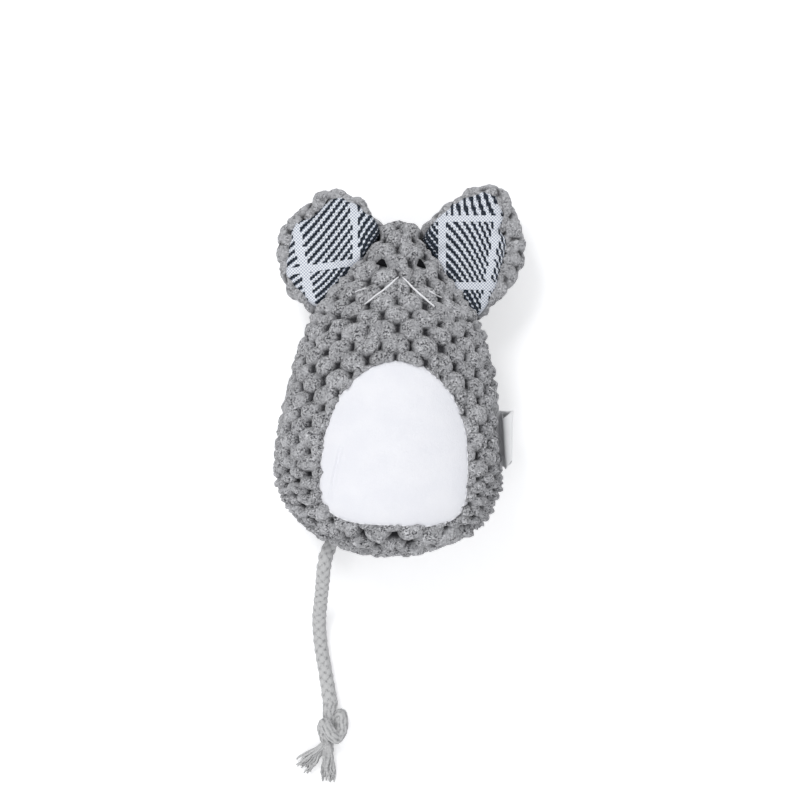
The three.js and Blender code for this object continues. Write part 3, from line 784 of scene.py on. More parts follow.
@dataclass(frozen=True)
class SatinRibbon:
    """White satin ribbon with grey painted shade on its inner face: fine crosswise threads, a soft shine.
    """

    name: str = "satin_ribbon"
    light: Colour = (0.97, 0.97, 0.975)
    shade: Colour = (0.90, 0.905, 0.91)
    # The colour of the painted shade on the loop's inner face.
    inner_painted_shade: Colour = (0.70, 0.70, 0.71)
    thread: float = 0.35
    fibre_size: float = 0.5

    def material(self) -> Material:
        """Builds the material.

        Returns:
            The material.
        """
        finish = Finish(self.name)
        where = finish.place()
        along = finish.parts(where)[1]
        threads = (along * (2.0 * math.pi / (self.thread * MM))).wave() * 0.5 + 0.5
        fibre = finish.noise(where, self.fibre_size, 2.0)
        shine = finish.mix(threads * 0.5 + fibre * 0.5, self.shade, self.light)
        # Painted shade: the inner face of the loop turns grey.
        colour = finish.mix(finish.kept("inner"), shine, self.inner_painted_shade)
        return finish.cloth(colour, 0.42, finish.bump(threads, 0.03), Sheen_Weight=0.05)


# The popcorn cloth


@dataclass(frozen=True)
class Popcorn:
    """Relief of the popcorn cloth: soft tufts set like the squares of one colour on a draughtboard.

    The hollows between them are upright slots, and each tuft has a shallow parting of its own.
    """

    across: float = 5.1
    along: float = 5.15
    height: float = 2.9
    wide: float = 0.92
    tall: float = 0.79
    roundness: float = 2.2
    sunk: float = 1.6
    parting: float = 0.34
    parting_width: float = 0.13
    crown_edge: float = 2.6
    crown_round: float = 0.64
    lump: float = 0.34
    lump_size: float = 1.9
    fuzz: float = 0.2
    fuzz_size: float = 0.8
    drift: float = 0.45
    drift_size: float = 7.0
    ragged: float = 0.3
    ragged_size: float = 1.4
    strayed: float = 0.06
    uneven_reach: float = 0.07
    uneven_height: float = 0.16

    def relief(self, flat: Array, where: Array, seed: int) -> tuple[Array, Array]:
        """How far the pile stands over the cloth.

        Args:
            flat: Places on the flat cloth, as complex numbers.
            where: The same places on the toy.
            seed: Which set of random sizes the tufts have.

        Returns:
            The height over the cloth's middle level in millimetres, and the share from a hollow
            to the top of a tuft.
        """
        plane = np.stack([flat.real, flat.imag], axis=1)
        drift = np.stack([grain(plane, self.drift_size, seed + more) for more in (1, 2)], axis=1)
        ragged = np.stack([grain(plane, self.ragged_size, seed + more) for more in (9, 10)], axis=1)
        plane = plane + self.drift * drift + self.ragged * ragged
        one = (plane[:, 0] / self.across + plane[:, 1] / self.along) / 2.0
        two = (plane[:, 0] / self.across - plane[:, 1] / self.along) / 2.0
        cell = np.stack([np.round(one), np.round(two)], axis=1)
        best = np.zeros(len(flat))
        for offset in itertools.product((-1, 0, 1), repeat=2):
            tuft = cell + np.array(offset)
            off_one = one - tuft[:, 0] - self.strayed * scatter(tuft, seed + 3)
            off_two = two - tuft[:, 1] - self.strayed * scatter(tuft, seed + 4)
            reach = 1.0 + self.uneven_reach * scatter(tuft, seed + 5)
            beside, beyond = off_one + off_two, off_one - off_two
            apart = np.abs(beside / self.wide) ** self.roundness
            apart = apart + np.abs(beyond / self.tall) ** self.roundness
            share = np.clip(apart ** (1.0 / self.roundness) / reach, 0.0, 1.0)
            crown = (1.0 - share**self.crown_edge) ** self.crown_round
            crown = crown * (1.0 + self.uneven_height * scatter(tuft, seed + 6))
            off_parting = beside - 0.22 * scatter(tuft, seed + 11) - 0.12 * beyond
            deep = self.parting * np.clip(0.45 + scatter(tuft, seed + 12), 0.0, 1.0)
            crown = crown * (1.0 - deep * np.exp(-((off_parting / self.parting_width) ** 2)))
            best = np.maximum(best, crown)
        lumps = grain(where, self.lump_size, seed + 7)
        fuzz = grain(where, self.fuzz_size, seed + 8)
        raised = self.height * best - self.sunk
        raised += (0.3 + 0.7 * np.clip(best, 0.0, 1.0)) * (self.lump * lumps + self.fuzz * fuzz)
        return raised, np.clip(best + 0.12 * lumps, 0.0, 1.2)


@dataclass(frozen=True)
class BodyForm:
    """The stuffed body's shape, as the two panels have it."""

    length: float
    half_width: float
    rest_along: float
    seam_height: float
    belly: float = 28.0
    back: float = 19.0
    seat: float = 29.0
    flank_lead: float = 13.0
    cheek_lead: float = 9.0
    cheek_back: float = 32.0
    cheek_half: float = 27.3
    nose_back: float = 8.0
    nose_half: float = 10.4
    nose_lead: float = 5.5
    nose_tip: float = 6.0
    front_round: float = 2.1
    back_round: float = 2.5
    front_full: float = 1.25
    back_full: float = 2.0

    @classmethod
    def from_frame(cls) -> "BodyForm":
        """Reads the overall sizes off the two panels.

        Returns:
            The form.
        """
        low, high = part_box("body_front_panel")
        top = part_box("body_back_panel")[1]
        return cls(
            length=(high.y - low.y) / MM,
            half_width=(high.x - low.x) / (2.0 * MM),
            rest_along=-low.y / MM,
            seam_height=(low.z + top.z) / (2.0 * MM),
        )

    def outline(self, count: int) -> Array:
        """Half of the outline seen from above, from the tail end to the nose.

        Args:
            count: How many points to give back.

        Returns:
            Across and along for each point, evenly spaced.
        """
        turn = np.linspace(-math.pi / 2.0, 0.0, 200)
        seat = np.stack([self.half_width * np.cos(turn), self.seat * (1.0 + np.sin(turn))], axis=1)
        cheek = np.array([self.cheek_half, self.length - self.cheek_back])
        nose = np.array([self.nose_half, self.length - self.nose_back])
        way = (nose - cheek) / np.linalg.norm(nose - cheek)
        flank = bezier(
            seat[-1],
            seat[-1] + np.array([0.0, self.flank_lead]),
            cheek - way * self.cheek_lead,
            cheek,
            200,
        )
        tip = np.array([0.0, self.length])
        muzzle = bezier(nose, nose + way * self.nose_lead, tip + np.array([self.nose_tip, 0.0]), tip, 100)
        return respace(np.concatenate([seat, flank[1:], [nose], muzzle[1:]]), count)

    def depth(self, face: Face, half: Array, inset: float = 0.0) -> Array:
        """How far the body reaches above or below its seam at the middle line.

        Args:
            face: Which side.
            half: Half widths of the body there.
            inset: How far inside the skin.

        Returns:
            The depth at each half width.
        """
        share = np.clip(half / (self.half_width - inset), 0.0, 1.0)
        full = self.front_full if face is Face.FRONT else self.back_full
        most = (self.belly if face is Face.FRONT else self.back) - inset
        return most * (1.0 - (1.0 - share) ** full)

    def skin(self, face: Face, rows: int, columns: int, inset: float = 0.0) -> Array:
        """The skin of one side as a grid, from the tail end to the nose and from side to side.

        Args:
            face: Which side.
            rows: How many rows of faces.
            columns: How many columns of faces.
            inset: How far inside the skin.

        Returns:
            Places on the toy, in rows and columns. The first and last rows are single points.
        """
        line = self.outline(rows + 1)
        way = np.gradient(line, axis=0)
        way /= np.linalg.norm(way, axis=1, keepdims=True)
        line = line + inset * np.stack([-way[:, 1], way[:, 0]], axis=1)
        line[0], line[-1] = (0.0, inset), (0.0, self.length - inset)
        power = 2.0 / (self.front_round if face is Face.FRONT else self.back_round)
        turn = np.linspace(math.pi, 0.0, 361)
        unit_across = np.sign(np.cos(turn)) * np.abs(np.cos(turn)) ** power
        unit_up = np.sin(turn).clip(0.0, 1.0) ** power
        depth = self.depth(face, line[:, 0], inset)
        grid = np.zeros((rows + 1, columns + 1, 3))
        for row in range(rows + 1):
            section = np.stack([unit_across * line[row, 0], unit_up * depth[row]], axis=1)
            if 0 < row < rows:
                section = respace(section, columns + 1)
            else:
                section = np.zeros((columns + 1, 2))
            grid[row, :, 0] = section[:, 0]
            grid[row, :, 1] = line[row, 1] - self.rest_along
            grid[row, :, 2] = self.seam_height + face.value * section[:, 1]
        return grid

    def top(self, across: Array, along: Array) -> Array:
        """Height of the smooth belly side over a place.

        Args:
            across: Distance across from the middle line.
            along: Distance along in the toy's frame.

        Returns:
            The height over the ground.
        """
        line = self.outline(600)
        half = np.interp(along + self.rest_along, line[:, 1], line[:, 0])
        half = np.maximum(half, 1e-3)
        share = np.clip(np.abs(across) / half, 0.0, 1.0)
        rise = (1.0 - share**self.front_round) ** (1.0 / self.front_round)
        return self.seam_height + self.depth(Face.FRONT, half) * rise


@dataclass(frozen=True)
class PatchForm:
    """Outline of the belly patch: an egg with a squarer lower end."""

    half_width: float = 26.0
    up: float = 37.7
    down: float = 19.6
    across: float = 2.1
    along: float = -13.3
    up_round: float = 2.12
    down_round: float = 3.6

    def edge(self, count: int) -> Array:
        """Points round the outline.

        Args:
            count: How many.

        Returns:
            Across and along for each, from the right side through the top.
        """
        turn = np.linspace(0.0, 2.0 * math.pi, count, endpoint=False)
        rising = np.sin(turn) >= 0.0
        power = np.where(rising, 2.0 / self.up_round, 2.0 / self.down_round)
        end = np.where(rising, self.up, self.down)
        x = np.sign(np.cos(turn)) * np.abs(np.cos(turn)) ** power * self.half_width
        y = np.sign(np.sin(turn)) * np.abs(np.sin(turn)) ** power * end
        loop = np.stack([x + self.across, y + self.along], axis=1)
        return respace(np.concatenate([loop, loop[:1]]), count + 1)[:-1]

    def inside(self, across: Array, along: Array) -> Array:
        """How far inside the outline a place lies.

        Args:
            across: Distance across.
            along: Distance along.

        Returns:
            The rough distance to the outline, below 0 outside it.
        """
        x = np.abs(across - self.across) / self.half_width
        y = along - self.along
        rising = y >= 0.0
        power = np.where(rising, self.up_round, self.down_round)
        end = np.where(rising, self.up, self.down)
        share = (x**power + (np.abs(y) / end) ** power) ** (1.0 / power)
        reach = np.hypot(across - self.across, y) / np.maximum(share, 1e-3)
        return (1.0 - share) * np.where(share > 0.05, reach, self.down)


@dataclass
class Body:
    """The two plush panels, the belly patch and its stitching."""

    form: BodyForm
    patch: PatchForm
    cloth: Popcorn
    rows: int = 372
    columns: int = 264
    inner_columns: int = 24
    cloth_thickness: float = 2.4
    seam_gap: float = 0.15
    seam_pull: float = 0.55
    seam_reach: float = 1.7
    seam_flat: float = 0.35
    # Painted shade at the seam, as a share taken off the pile's tone.
    seam_painted_shade: float = 0.3
    eye_places: tuple[Pair, Pair] = ((-5.95, 56.95), (7.6, 57.3))
    eye_hollow: Pair = (1.5, 3.1)
    eye_sunk: float = 0.75
    eye_above_seam: float = 3.0
    ear_middle: Pair = (17.862, 53.945)
    ear_angle: float = 54.85
    ear_half: float = 16.5
    ear_press: float = 2.4
    ear_flat: float = 0.45
    ear_beside: Pair = (-1.5, 2.5)
    ear_inward: Pair = (-5.0, -2.6)
    pile_up: float = 1.35
    pile_rises: Pair = (3.5, 7.5)
    pile_down: float = 0.35
    pile_sinks: Pair = (9.0, 13.0)
    label_along: float = -0.8
    label_press: float = 1.2
    label_half: float = 11.0
    label_reach: Pair = (5.0, 11.0)
    # Painted shade on the pile pressed in beside the label.
    label_painted_shade: float = 0.35
    patch_sunk: float = 0.8
    patch_thickness: float = 1.2
    crease_ends: tuple[Pair, Pair] = ((-19.6, -24.5), (-16.4, -6.5))
    crease_half: float = 0.6
    fringe_out: float = 4.0
    fringe_wide: float = 3.6
    fringe_full: float = 0.32
    fringe_raised: float = 0.4
    lower_fringe: Pair = (24.0, 31.0)
    # Also deepens the painted shade in the hollows of the lower fringe.
    lower_full: float = 0.35
    gap_along: float = 44.0
    bow: float = 1.5
    most_growth: float = 1.2
    askew: float = -2.0
    front_seed: int = 11
    back_seed: int = 47
    skin_points: Array = field(default_factory=lambda: np.zeros((0, 3)))

    def flat_places(self, grid: Array) -> Array:
        """Where each vertex of a panel lies on the flat cloth, laid on from the middle line.

        The cloth's rows bow away from the end towards which the body narrows, as on a cone.

        Args:
            grid: The panel's smooth skin, in rows and columns.

        Returns:
            Complex numbers in rows and columns: across, and along from the gap between two tufts.
        """
        middle = grid[:, self.columns // 2]
        along = np.concatenate([[0.0], np.cumsum(np.linalg.norm(np.diff(middle, axis=0), axis=1))])
        start = np.interp(self.gap_along, middle[:, 1], along)
        step = np.linalg.norm(np.diff(grid, axis=1), axis=2).mean(axis=1)
        across = step[:, None] * (np.arange(self.columns + 1) - self.columns / 2.0)[None]
        half = step * self.columns / 2.0
        growth = np.clip(np.gradient(half, along), -self.most_growth, self.most_growth)
        bend = self.bow * growth / np.maximum(half, 1.0)
        bend = np.where(np.abs(bend) < 1e-4, 1e-4, bend)[:, None]
        flat_across = np.sin(bend * across) / bend
        flat_along = (along - start)[:, None] - (1.0 - np.cos(bend * across)) / bend
        turned = (flat_across + 1j * flat_along) * np.exp(1j * math.radians(self.askew))
        return turned + 1j * self.cloth.along

    def panel(self, face: Face, material: Material) -> Piece:
        """One plush panel: the tufted outside, a smooth inside and the seam edge between them.

        Args:
            face: Which panel.
            material: Its finish.

        Returns:
            The piece.
        """
        form = self.form
        grid = form.skin(face, self.rows, self.columns)
        normals = grid_normals(grid, closed=False) * face.value
        normals[0], normals[-1] = (0.0, -1.0, 0.0), (0.0, 1.0, 0.0)
        places = grid.reshape(-1, 3)
        seed = self.front_seed if face is Face.FRONT else self.back_seed
        raised, pile = self.cloth.relief(self.flat_places(grid).ravel(), places, seed)
        raised, pile = self.drawn_in(places, raised, pile)
        if face is Face.FRONT:
            raised, pile = self.round_the_patch(places, raised, pile)
            raised = self.round_the_face(places, raised)
        moved = (places + normals.reshape(-1, 3) * raised[:, None]).reshape(grid.shape)
        moved[:, 0, 2] = moved[:, -1, 2] = form.seam_height
        moved[0, :, 2] = moved[-1, :, 2] = form.seam_height
        if face is Face.FRONT:
            moved[..., 2] = np.maximum(moved[..., 2], form.seam_height + self.seam_gap)
            self.skin_points = moved.reshape(-1, 3)
        else:
            moved[..., 2] = np.clip(moved[..., 2], 0.02, form.seam_height - self.seam_gap)
        inner = form.skin(face, self.rows, self.inner_columns, self.cloth_thickness + 1.4)
        inner[..., 2] += face.value * self.seam_gap
        low = np.concatenate([inner[:1, 0], inner[1:-1].reshape(-1, 3), inner[-1:, 0]])
        high = np.concatenate([moved[:1, 0], moved[1:-1].reshape(-1, 3), moved[-1:, 0]])
        kept = pile.reshape(grid.shape[:2])
        shares = np.concatenate([kept[:1, 0], kept[1:-1].ravel(), kept[-1:, 0]])
        faces = self.panel_faces(len(high))
        name = "front_panel_plush" if face is Face.FRONT else "back_panel_plush"
        piece = add_mesh(name, np.concatenate([high, low]), faces, material)
        # The pile share, which the finish turns into painted shade in the hollows.
        keep(piece, "pile", np.concatenate([shares, np.zeros(len(low))]))
        return piece

    def drawn_in(self, places: Array, raised: Array, pile: Array) -> tuple[Array, Array]:
        """Draws the pile in at the seam and beside the label, and darkens it there with painted shade.

        Args:
            places: Places on the smooth skin.
            raised: How far the pile stands out there.
            pile: The share from a hollow to the top of a tuft.

        Returns:
            How far the pile stands out now, and its share.
        """
        from_seam = np.abs(places[:, 2] - self.form.seam_height)
        pulled = 1.0 - smooth(0.0, self.seam_reach, from_seam)
        raised = raised * (1.0 - self.seam_flat * pulled) - self.seam_pull * pulled
        # Painted shade where the pile is drawn into the seam.
        pile = pile * (1.0 - self.seam_painted_shade * pulled)
        from_label = (places[:, 1] - self.label_along) / self.label_half
        beside = np.exp(-(from_label**4)) * (places[:, 0] > 0.0)
        beside = beside * (1.0 - smooth(*self.label_reach, from_seam))
        # The pile beside the label is pressed in and darkened with painted shade.
        return raised - self.label_press * beside, pile * (1.0 - self.label_painted_shade * beside)

    def round_the_patch(self, places: Array, raised: Array, pile: Array) -> tuple[Array, Array]:
        """Makes the tufts fuller round the belly patch, paints shade into the hollows of its lower fringe,
        and lays the cloth flat under it.

        Args:
            places: Places on the smooth skin.
            raised: How far the pile stands out there.
            pile: The share from a hollow to the top of a tuft.

        Returns:
            How far the pile stands out now, and its share.
        """
        inside = self.patch.inside(places[:, 0], places[:, 1])
        ragged = 0.5 + 0.8 * grain(places, 2.4, 91) + 0.45 * grain(places, 0.9, 92)
        beyond = np.exp(-(((inside + self.fringe_out) / self.fringe_wide) ** 2))
        lower = beyond * smooth(*self.lower_fringe, -places[:, 1])
        raised = raised * (1.0 + self.fringe_full * beyond + self.lower_full * lower)
        raised = raised + self.fringe_raised * beyond
        # Painted shade: darker hollows between the tufts of the lower fringe.
        pile = pile - self.lower_full * lower * (1.0 - np.clip(pile, 0.0, 1.0))
        under = smooth(-0.4, 0.9, inside - np.clip(ragged, 0.0, 1.6))
        floor = -(self.patch_sunk + self.patch_thickness + 0.5)
        return raised * (1.0 - under) + floor * under, pile

    def round_the_face(self, places: Array, raised: Array) -> Array:
        """Sinks the pile under the eyes and presses it where the ears rest.

        Args:
            places: Places on the smooth skin.
            raised: How far the pile stands out there.

        Returns:
            How far it stands out now.
        """
        for eye in self.eye_places:
            apart = np.hypot(places[:, 0] - eye[0], places[:, 1] - eye[1])
            near = 1.0 - smooth(*self.eye_hollow, apart)
            near = near * (places[:, 2] > self.form.seam_height + self.eye_above_seam)
            raised = raised * (1.0 - near) - self.eye_sunk * near
        pressed = self.pressed(places)
        return raised * (1.0 - self.ear_flat * pressed) - self.ear_press * pressed

    def pressed(self, places: Array) -> Array:
        """Where the ears rest against the head, and the pile beside them stands up.

        Args:
            places: Places on the front of the body.

        Returns:
            From 1 where an ear presses to below 0 in the pile that it pushes up.
        """
        angle = math.radians(self.ear_angle)
        x, y = np.abs(places[:, 0]) - self.ear_middle[0], places[:, 1] - self.ear_middle[1]
        along = x * math.cos(angle) - y * math.sin(angle)
        out = x * math.sin(angle) + y * math.cos(angle)
        full, none = (self.ear_half + more for more in self.ear_beside)
        beside = 1.0 - smooth(full, none, np.abs(along))
        inward = smooth(*self.ear_inward, out)
        high = places[:, 2] - self.form.seam_height
        over = 1.0 - self.pile_up * smooth(*self.pile_rises, high)
        over = over + self.pile_down * smooth(*self.pile_sinks, high)
        return beside * inward * over

    def panel_faces(self, outer: int) -> list:
        """Faces of a panel's outside, its inside and the edges between them.

        Args:
            outer: How many vertices the outside has.

        Returns:
            The vertices of each face.
        """
        faces = []
        count = self.rows - 1
        grids = []
        for start, columns, turned in ((0, self.columns, False), (outer, self.inner_columns, True)):
            number = start + 1 + np.arange(count * (columns + 1)).reshape(count, columns + 1)
            first, last = start, start + 1 + count * (columns + 1)
            quads = np.stack(
                [number[:-1, :-1], number[:-1, 1:], number[1:, 1:], number[1:, :-1]], axis=2
            ).reshape(-1, 4)
            tips = [(first, int(b), int(a)) for a, b in zip(number[0, :-1], number[0, 1:])]
            tips += [(last, int(a), int(b)) for a, b in zip(number[-1, :-1], number[-1, 1:])]
            part = [tuple(quad) for quad in quads.tolist()] + tips
            faces += [one[::-1] for one in part] if turned else part
            grids.append((first, number, last))
        (first_out, out, last_out), (first_in, inn, last_in) = grids
        for column, turned in ((0, False), (-1, True)):
            line_out = [first_out, *out[:, column].tolist(), last_out]
            line_in = [first_in, *inn[:, column].tolist(), last_in]
            for row in range(len(line_out) - 1):
                quad = (line_out[row], line_out[row + 1], line_in[row + 1], line_in[row])
                faces.append(quad[::-1] if turned else quad)
        return faces

    def patch_piece(self, material: Material) -> Piece:
        """The belly patch: smooth velour with a soft rolled edge.

        Args:
            material: Its finish.

        Returns:
            The piece.
        """
        sides, rings = 240, 70
        edge = self.patch.edge(sides)
        middle = np.array([self.patch.across, self.patch.along + 6.0])
        shares = np.linspace(1.0 / rings, 1.0, rings)
        plan = middle + shares[:, None, None] * (edge - middle)[None]
        x, y = plan[..., 0].ravel(), plan[..., 1].ravel()
        inside = np.repeat((1.0 - shares) * 22.0, sides)
        body_top = self.form.top(x, y)
        flat = np.stack([x, y], axis=1)
        crease = self.crease(flat)
        roll = self.patch_thickness * (1.0 - smooth(-0.4, 1.5, inside))
        wave = 0.22 * grain(flat, 11.0, 5) + 0.05 * grain(flat, 0.9, 6) - 0.8 * crease
        high = body_top - self.patch_sunk - roll + wave * smooth(0.0, 4.0, inside)
        low = body_top - self.patch_sunk - self.patch_thickness - 0.2
        upper = np.stack([x, y, high], axis=1).reshape(rings, sides, 3)
        lower = np.stack([x, y, low], axis=1).reshape(rings, sides, 3)[::-1][1::6]
        peak = self.form.top(middle[:1], middle[1:])[0] - self.patch_sunk
        first = np.array([[*middle, peak]])
        last = np.array([[*middle, peak - self.patch_thickness]])
        points = np.concatenate([first, upper.reshape(-1, 3), lower.reshape(-1, 3), last])
        faces = ring_faces(rings + len(lower), sides, 0)
        return add_mesh("belly_patch_velour", points, faces, material)

    def crease(self, flat: Array) -> Array:
        """The faint crease in the lower left of the patch.

        Args:
            flat: Across and along for each place.

        Returns:
            From 0 to 1 at the crease.
        """
        start, end = np.array(self.crease_ends)
        way = (end - start) / np.linalg.norm(end - start)
        along = np.clip((flat - start) @ way, 0.0, np.linalg.norm(end - start))
        apart = np.linalg.norm(flat - start - along[:, None] * way, axis=1)
        return np.exp(-((apart / self.crease_half) ** 2))

    def patch_stitches(self, material: Material) -> Piece:
        """Small stitches round the edge of the belly patch, sunk in its pile.

        Args:
            material: Their finish.

        Returns:
            The piece.
        """
        edge = self.patch.edge(720)
        middle = np.array([self.patch.across, self.patch.along])
        reach = np.linalg.norm(edge - middle, axis=1, keepdims=True)
        line = edge + (middle - edge) * (1.3 / reach)
        z = self.form.top(line[:, 0], line[:, 1]) - self.patch_sunk - 0.18
        path = np.column_stack([line, z])
        stitches = [path[start : start + 9] for start in range(0, len(path) - 9, 12)]
        return thread_piece("belly_patch_stitches", stitches, 0.2, material, sunk_ends=0.3)

    def surface_height(self, place: Array) -> float:
        """Height of the tufted front over a place.

        Args:
            place: Across and along.

        Returns:
            The height of the nearest vertex.
        """
        apart = np.sum((self.skin_points[:, :2] - place) ** 2, axis=1)
        return float(self.skin_points[int(np.argmin(apart)), 2])


def thread_piece(name: str, runs: list, radius: float, material: Material, sunk_ends: float) -> Piece:
    """Round threads along lines, each with drawn-in ends.

    Args:
        name: The piece's name.
        runs: The points of each thread.
        radius: Half its thickness.
        material: Its finish.
        sunk_ends: How far its ends go down.

    Returns:
        The piece.
    """
    sides = 6
    points, faces = [], []
    for run in runs:
        line = np.array(run, dtype=float)
        share = np.linspace(-1.0, 1.0, len(line))
        line[:, 2] -= sunk_ends * share**6
        width = radius * (1.0 - 0.45 * np.abs(share) ** 5)
        rings = tube_rings(line, width, sides)
        first = len(points)
        points.extend([line[0], *rings.reshape(-1, 3), line[-1]])
        faces.extend(ring_faces(len(line), sides, first))
    return add_mesh(name, np.array(points), faces, material)


def tube_frames(line: Array) -> tuple[Array, Array]:
    """Directions square to a line that turn as little as they can.

    Args:
        line: The line's points.

    Returns:
        Two unit vectors for each point.
    """
    way = np.gradient(line, axis=0)
    way /= np.maximum(np.linalg.norm(way, axis=1, keepdims=True), 1e-9)
    up = np.array([0.0, 0.0, 1.0]) if abs(way[0, 2]) < 0.9 else np.array([1.0, 0.0, 0.0])
    ups = []
    for direction in way:
        up = up - direction * float(up @ direction)
        up = up / np.linalg.norm(up)
        ups.append(up)
    one = np.array(ups)
    return one, np.cross(way, one)


def tube_rings(line: Array, radii: Array, sides: int) -> Array:
    """Rings of places round a line.

    Args:
        line: The line's points.
        radii: The radius at each point, or one for each point and side.
        sides: How many places each ring has.

    Returns:
        The places, ring by ring.
    """
    one, two = tube_frames(line)
    turn = np.linspace(0.0, 2.0 * math.pi, sides, endpoint=False)
    wide = radii[:, None] if radii.ndim == 1 else radii
    spread = np.cos(turn)[None, :, None] * one[:, None] + np.sin(turn)[None, :, None] * two[:, None]
    return line[:, None] + wide[..., None] * spread


@dataclass
class EyesAndWhiskers:
    """Eyes and whiskers, sewn on the front of the head."""

    body: Body
    eye_width: float = 3.5
    eye_height: float = 3.2
    left_corners: tuple[Pair, ...] = ((-0.55, -0.08), (0.53, -0.42), (0.1, 0.46))
    right_corners: tuple[Pair, ...] = ((-0.44, -0.2), (0.46, -0.45), (-0.16, 0.58))
    eye_lift: float = 0.35
    thread_radius: float = 0.37

    def eye(self, side: Side, material: Material) -> Piece:
        """A three-cornered patch of close black stitches, half sunk in the pile.

        Args:
            side: Which eye.
            material: Its finish.

        Returns:
            The piece.
        """
        place = np.array(self.body.eye_places[0 if side is Side.LEFT else 1])
        corners = np.array(self.left_corners if side is Side.LEFT else self.right_corners)
        corners = corners * (self.eye_width, self.eye_height) + place
        runs = []
        for share in np.linspace(0.04, 0.96, 9):
            start = corners[0] * (1.0 - share) + corners[1] * share
            end = corners[2] * 0.9 + start * 0.1
            steps = np.linspace(0.0, 1.0, 9)[:, None]
            flat = start * (1.0 - steps) + end * steps
            height = self.body.form.top(flat[:, 0], flat[:, 1]) + self.eye_lift
            runs.append(np.column_stack([flat, height]))
        return thread_piece(f"eye_{side.word}_stitches", runs, 0.34, material, sunk_ends=0.7)

    def whisker(
        self, name: str, ends: tuple[Pair, Pair], bow: float, thin: float, material: Material
    ) -> Piece:
        """A thread laid over the tufts, which sinks into the pile at its ends.

        Args:
            name: The piece's name.
            ends: Across and along of its inner and of its outer end.
            bow: How far its middle lies off the straight line.
            thin: Its thickness as a share of the whole thread's.
            material: Its finish.

        Returns:
            The piece.
        """
        share = np.linspace(0.0, 1.0, 40)
        one, two = np.array(ends[0]), np.array(ends[1])
        across = np.array([one[1] - two[1], two[0] - one[0]]) / np.linalg.norm(two - one)
        flat = one + share[:, None] * (two - one) + bow * np.sin(math.pi * share)[:, None] * across
        flat = flat + 0.22 * (grain(flat, 2.6, 61) * np.sin(math.pi * share))[:, None] * across
        heights = np.array([self.body.surface_height(place) for place in flat])
        held = np.array([heights[max(0, i - 5) : i + 6].max() for i in range(len(heights))])
        soft = np.convolve(np.pad(held * 0.55 + heights * 0.45, 4, mode="edge"), np.ones(9) / 9.0, "valid")
        line = np.column_stack([flat, soft + 0.12])
        return thread_piece(name, [line], self.thread_radius * thin, material, sunk_ends=0.9)


# Ears


